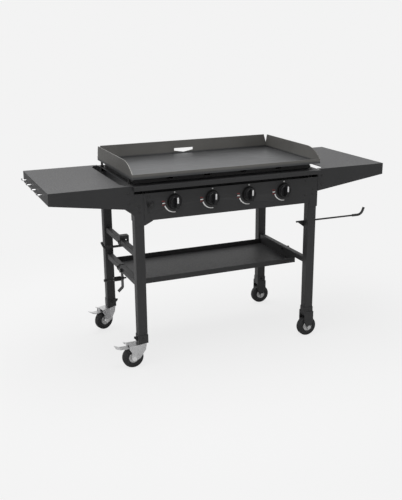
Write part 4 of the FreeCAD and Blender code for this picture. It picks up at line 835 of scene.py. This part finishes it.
class CastersOperator(bpy.types.Operator):
    """Moulds the tyres, presses the brake pedals and finishes the left forks and axles and all hubs"""
    bl_idname = "griddle.casters"
    bl_label = "Casters"

    def execute(self, context):
        finishes = context.scene.griddle_finishes
        zinc = bright_zinc(finishes)
        paint([side + "_fork" for side in LEFT_SIDES], zinc)
        low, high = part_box("front_left_brake_pedal")
        pedal = self.make_pedal((high.y - low.y) / 2, high.z - PEDAL_PIN_DROP)
        polished = metal("polished_axle", (0.88, 0.88, 0.88), 0.24)
        paint([side + "_axle" for side in LEFT_SIDES], polished)
        paint([side + "_hub" for side in SIDES], moulded("hub_plastic", (0.70, 0.70, 0.70), 0.4))
        low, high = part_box("front_right_tyre")
        tyre = self.make_tyre((high.z - low.z) / 2, (high.y - low.y) / 2, context.scene.griddle_casters)
        rubber = moulded("tyre_rubber", finishes.rubber, 0.62, grain=700.0, depth=0.0001)
        for side in SIDES:
            node = side + "_tyre"
            low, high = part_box(node)
            spin = next(j for j in frame["joints"] if j["child"] == side + "_wheel")
            turn = math.atan2(-spin["axis"][0], spin["axis"][1])
            dress(copied(tyre, side + "_tyre_moulding", (low + high) / 2, turn), rubber, node)
            if side in LEFT_SIDES:
                place = ((low.x + high.x) / 2, (low.y + high.y) / 2, 0)
                step = copied(pedal, side + "_pedal_pressing", place, turn)
                dress(step, zinc, side + "_brake_pedal")
        discard(tyre)
        discard(pedal)
        return {"FINISHED"}

    def make_pedal(self, pin_reach, pin_z):
        """Nearly level step with a turned-up tip, a release tab and the pin; the wheel's axis is at 0."""
        width = 34 * MM
        tab_share = 0.6
        sheet = 2.5 * MM
        pin_radius = 2.5 * MM
        pin_x = -8 * MM
        step_route = self.from_pin([(-4, 0), (-24, -5), (-58, -4), (-80, 5)], pin_z)
        tab_route = self.from_pin([(-25, -5.5), (-27, 15), (-41, 20)], pin_z)
        step = folded_sheet("pedal_step", step_route, width, sheet)
        tab = folded_sheet("pedal_tab", tab_route, width * tab_share, sheet)
        start_fresh()
        bpy.ops.mesh.primitive_cylinder_add(vertices=32, radius=pin_radius, depth=2 * pin_reach,
                                            location=(pin_x, 0, pin_z), rotation=(math.pi / 2, 0, 0))
        pin = settle(named("pedal_pin"))
        edit(pin, "EDGE")
        pick(pin, "edges", lambda e: any(len(f.verts) > 4 for f in e.link_faces))
        bpy.ops.mesh.bevel(offset=0.5 * MM, segments=2, profile=0.5)
        bpy.ops.object.mode_set(mode="OBJECT")
        return joined(step, [tab, pin])

    def from_pin(self, route, pin_z):
        """Turns (x, z) points in millimetres, z from the pin's height, into metres from the floor."""
        return [(x * MM, pin_z + z * MM) for x, z in route]

    def make_tyre(self, radius, half_width, casters):
        """Crowned tread with fine grooves, rounded shoulders and a bead ring on each wall."""
        bore = 22 * MM
        shoulder = 6 * MM
        shoulder_share = 0.92
        shoulder_steps = 6
        tread_edge = 0.4 * MM
        crown_drop = 0.25 * MM
        wall = -half_width + 0.7 * MM
        half = [(bore, -half_width + 3 * MM), (bore + 2.5 * MM, -half_width + 2.4 * MM)]
        half += [(bore + 7 * MM, -half_width + 2.2 * MM), (bore + 8.4 * MM, -half_width + 0.5 * MM)]
        half += [(bore + 9.6 * MM, -half_width), (bore + 11.2 * MM, -half_width)]
        half += [(bore + 12 * MM, wall), (radius - shoulder, wall)]
        for step in range(1, shoulder_steps):
            angle = math.pi / 2 * step / shoulder_steps
            half.append((radius - shoulder + shoulder * math.sin(angle) * shoulder_share,
                         wall + shoulder * (1 - math.cos(angle)) * shoulder_share))
        tread = [(radius - crown_drop, -half_width + shoulder + tread_edge)]
        for index in range(casters.tread_grooves):
            along = -half_width + 2 * half_width * (index + 1) / (casters.tread_grooves + 1)
            tread += [(radius, along - 1.1 * MM), (radius - casters.groove_depth, along - 0.6 * MM)]
            tread += [(radius - casters.groove_depth, along + 0.6 * MM), (radius, along + 1.1 * MM)]
        tread.append((radius - crown_drop, half_width - shoulder - tread_edge))
        outline = half + tread + [(r, -y) for r, y in reversed(half)]
        return spun("tyre_moulding", outline)


class HardwareOperator(bpy.types.Operator):
    """Finishes the tool hooks, towel rod sleeve and tank screw"""
    bl_idname = "griddle.hardware"
    bl_label = "Hooks and tank screw"

    def execute(self, context):
        finishes = context.scene.griddle_finishes
        paint(["tool_hooks"], bright_zinc(finishes, "hook_zinc", 0.24))
        paint(["towel_rod_tip"], moulded("grip_vinyl", BLACK_PLASTIC, 0.45))
        paint(["tank_screw", "tank_screw_pad"], moulded("tank_screw_black", (0.014, 0.014, 0.014), 0.4))
        return {"FINISHED"}


# Panel and registration

OPERATORS = (SteelworkOperator, ControlPanelOperator, PlateOperator, GasTrainOperator, KnobsOperator,
             DialPrintsOperator, CastersOperator, HardwareOperator, StudioOperator)


class GriddlePanel(bpy.types.Panel):
    """Lists the griddle's pieces and settings"""
    bl_idname = "VIEW3D_PT_griddle"
    bl_label = "Griddle"
    bl_space_type = "VIEW_3D"
    bl_region_type = "UI"
    bl_category = "Griddle"

    def draw(self, context):
        layout = self.layout
        for operator in OPERATORS:
            layout.operator(operator.bl_idname)
        for group in SETTINGS:
            settings = getattr(context.scene, group)
            for name in settings.bl_rna.properties.keys():
                if name not in ("rna_type", "name"):
                    layout.prop(settings, name)


SETTINGS = {"griddle_studio": StudioSettings, "griddle_finishes": FinishSettings,
            "griddle_knobs": KnobSettings, "griddle_panel": PanelSettings, "griddle_casters": CasterSettings}


def register():
    for group, kind in SETTINGS.items():
        bpy.utils.register_class(kind)
        setattr(bpy.types.Scene, group, PointerProperty(type=kind))
    for kind in OPERATORS + (GriddlePanel,):
        bpy.utils.register_class(kind)


def unregister():
    for kind in reversed(OPERATORS + (GriddlePanel,)):
        bpy.utils.unregister_class(kind)
    for group, kind in reversed(SETTINGS.items()):
        delattr(bpy.types.Scene, group)
        bpy.utils.unregister_class(kind)


def main():
    register()
    bpy.ops.griddle.steelwork()
    bpy.ops.griddle.control_panel()
    bpy.ops.griddle.plate()
    bpy.ops.griddle.gas_train()
    bpy.ops.griddle.knobs()
    bpy.ops.griddle.dial_prints()
    bpy.ops.griddle.casters()
    bpy.ops.griddle.hardware()
    bpy.ops.griddle.studio()
    start_fresh()


if __name__ == "__main__":
    main()
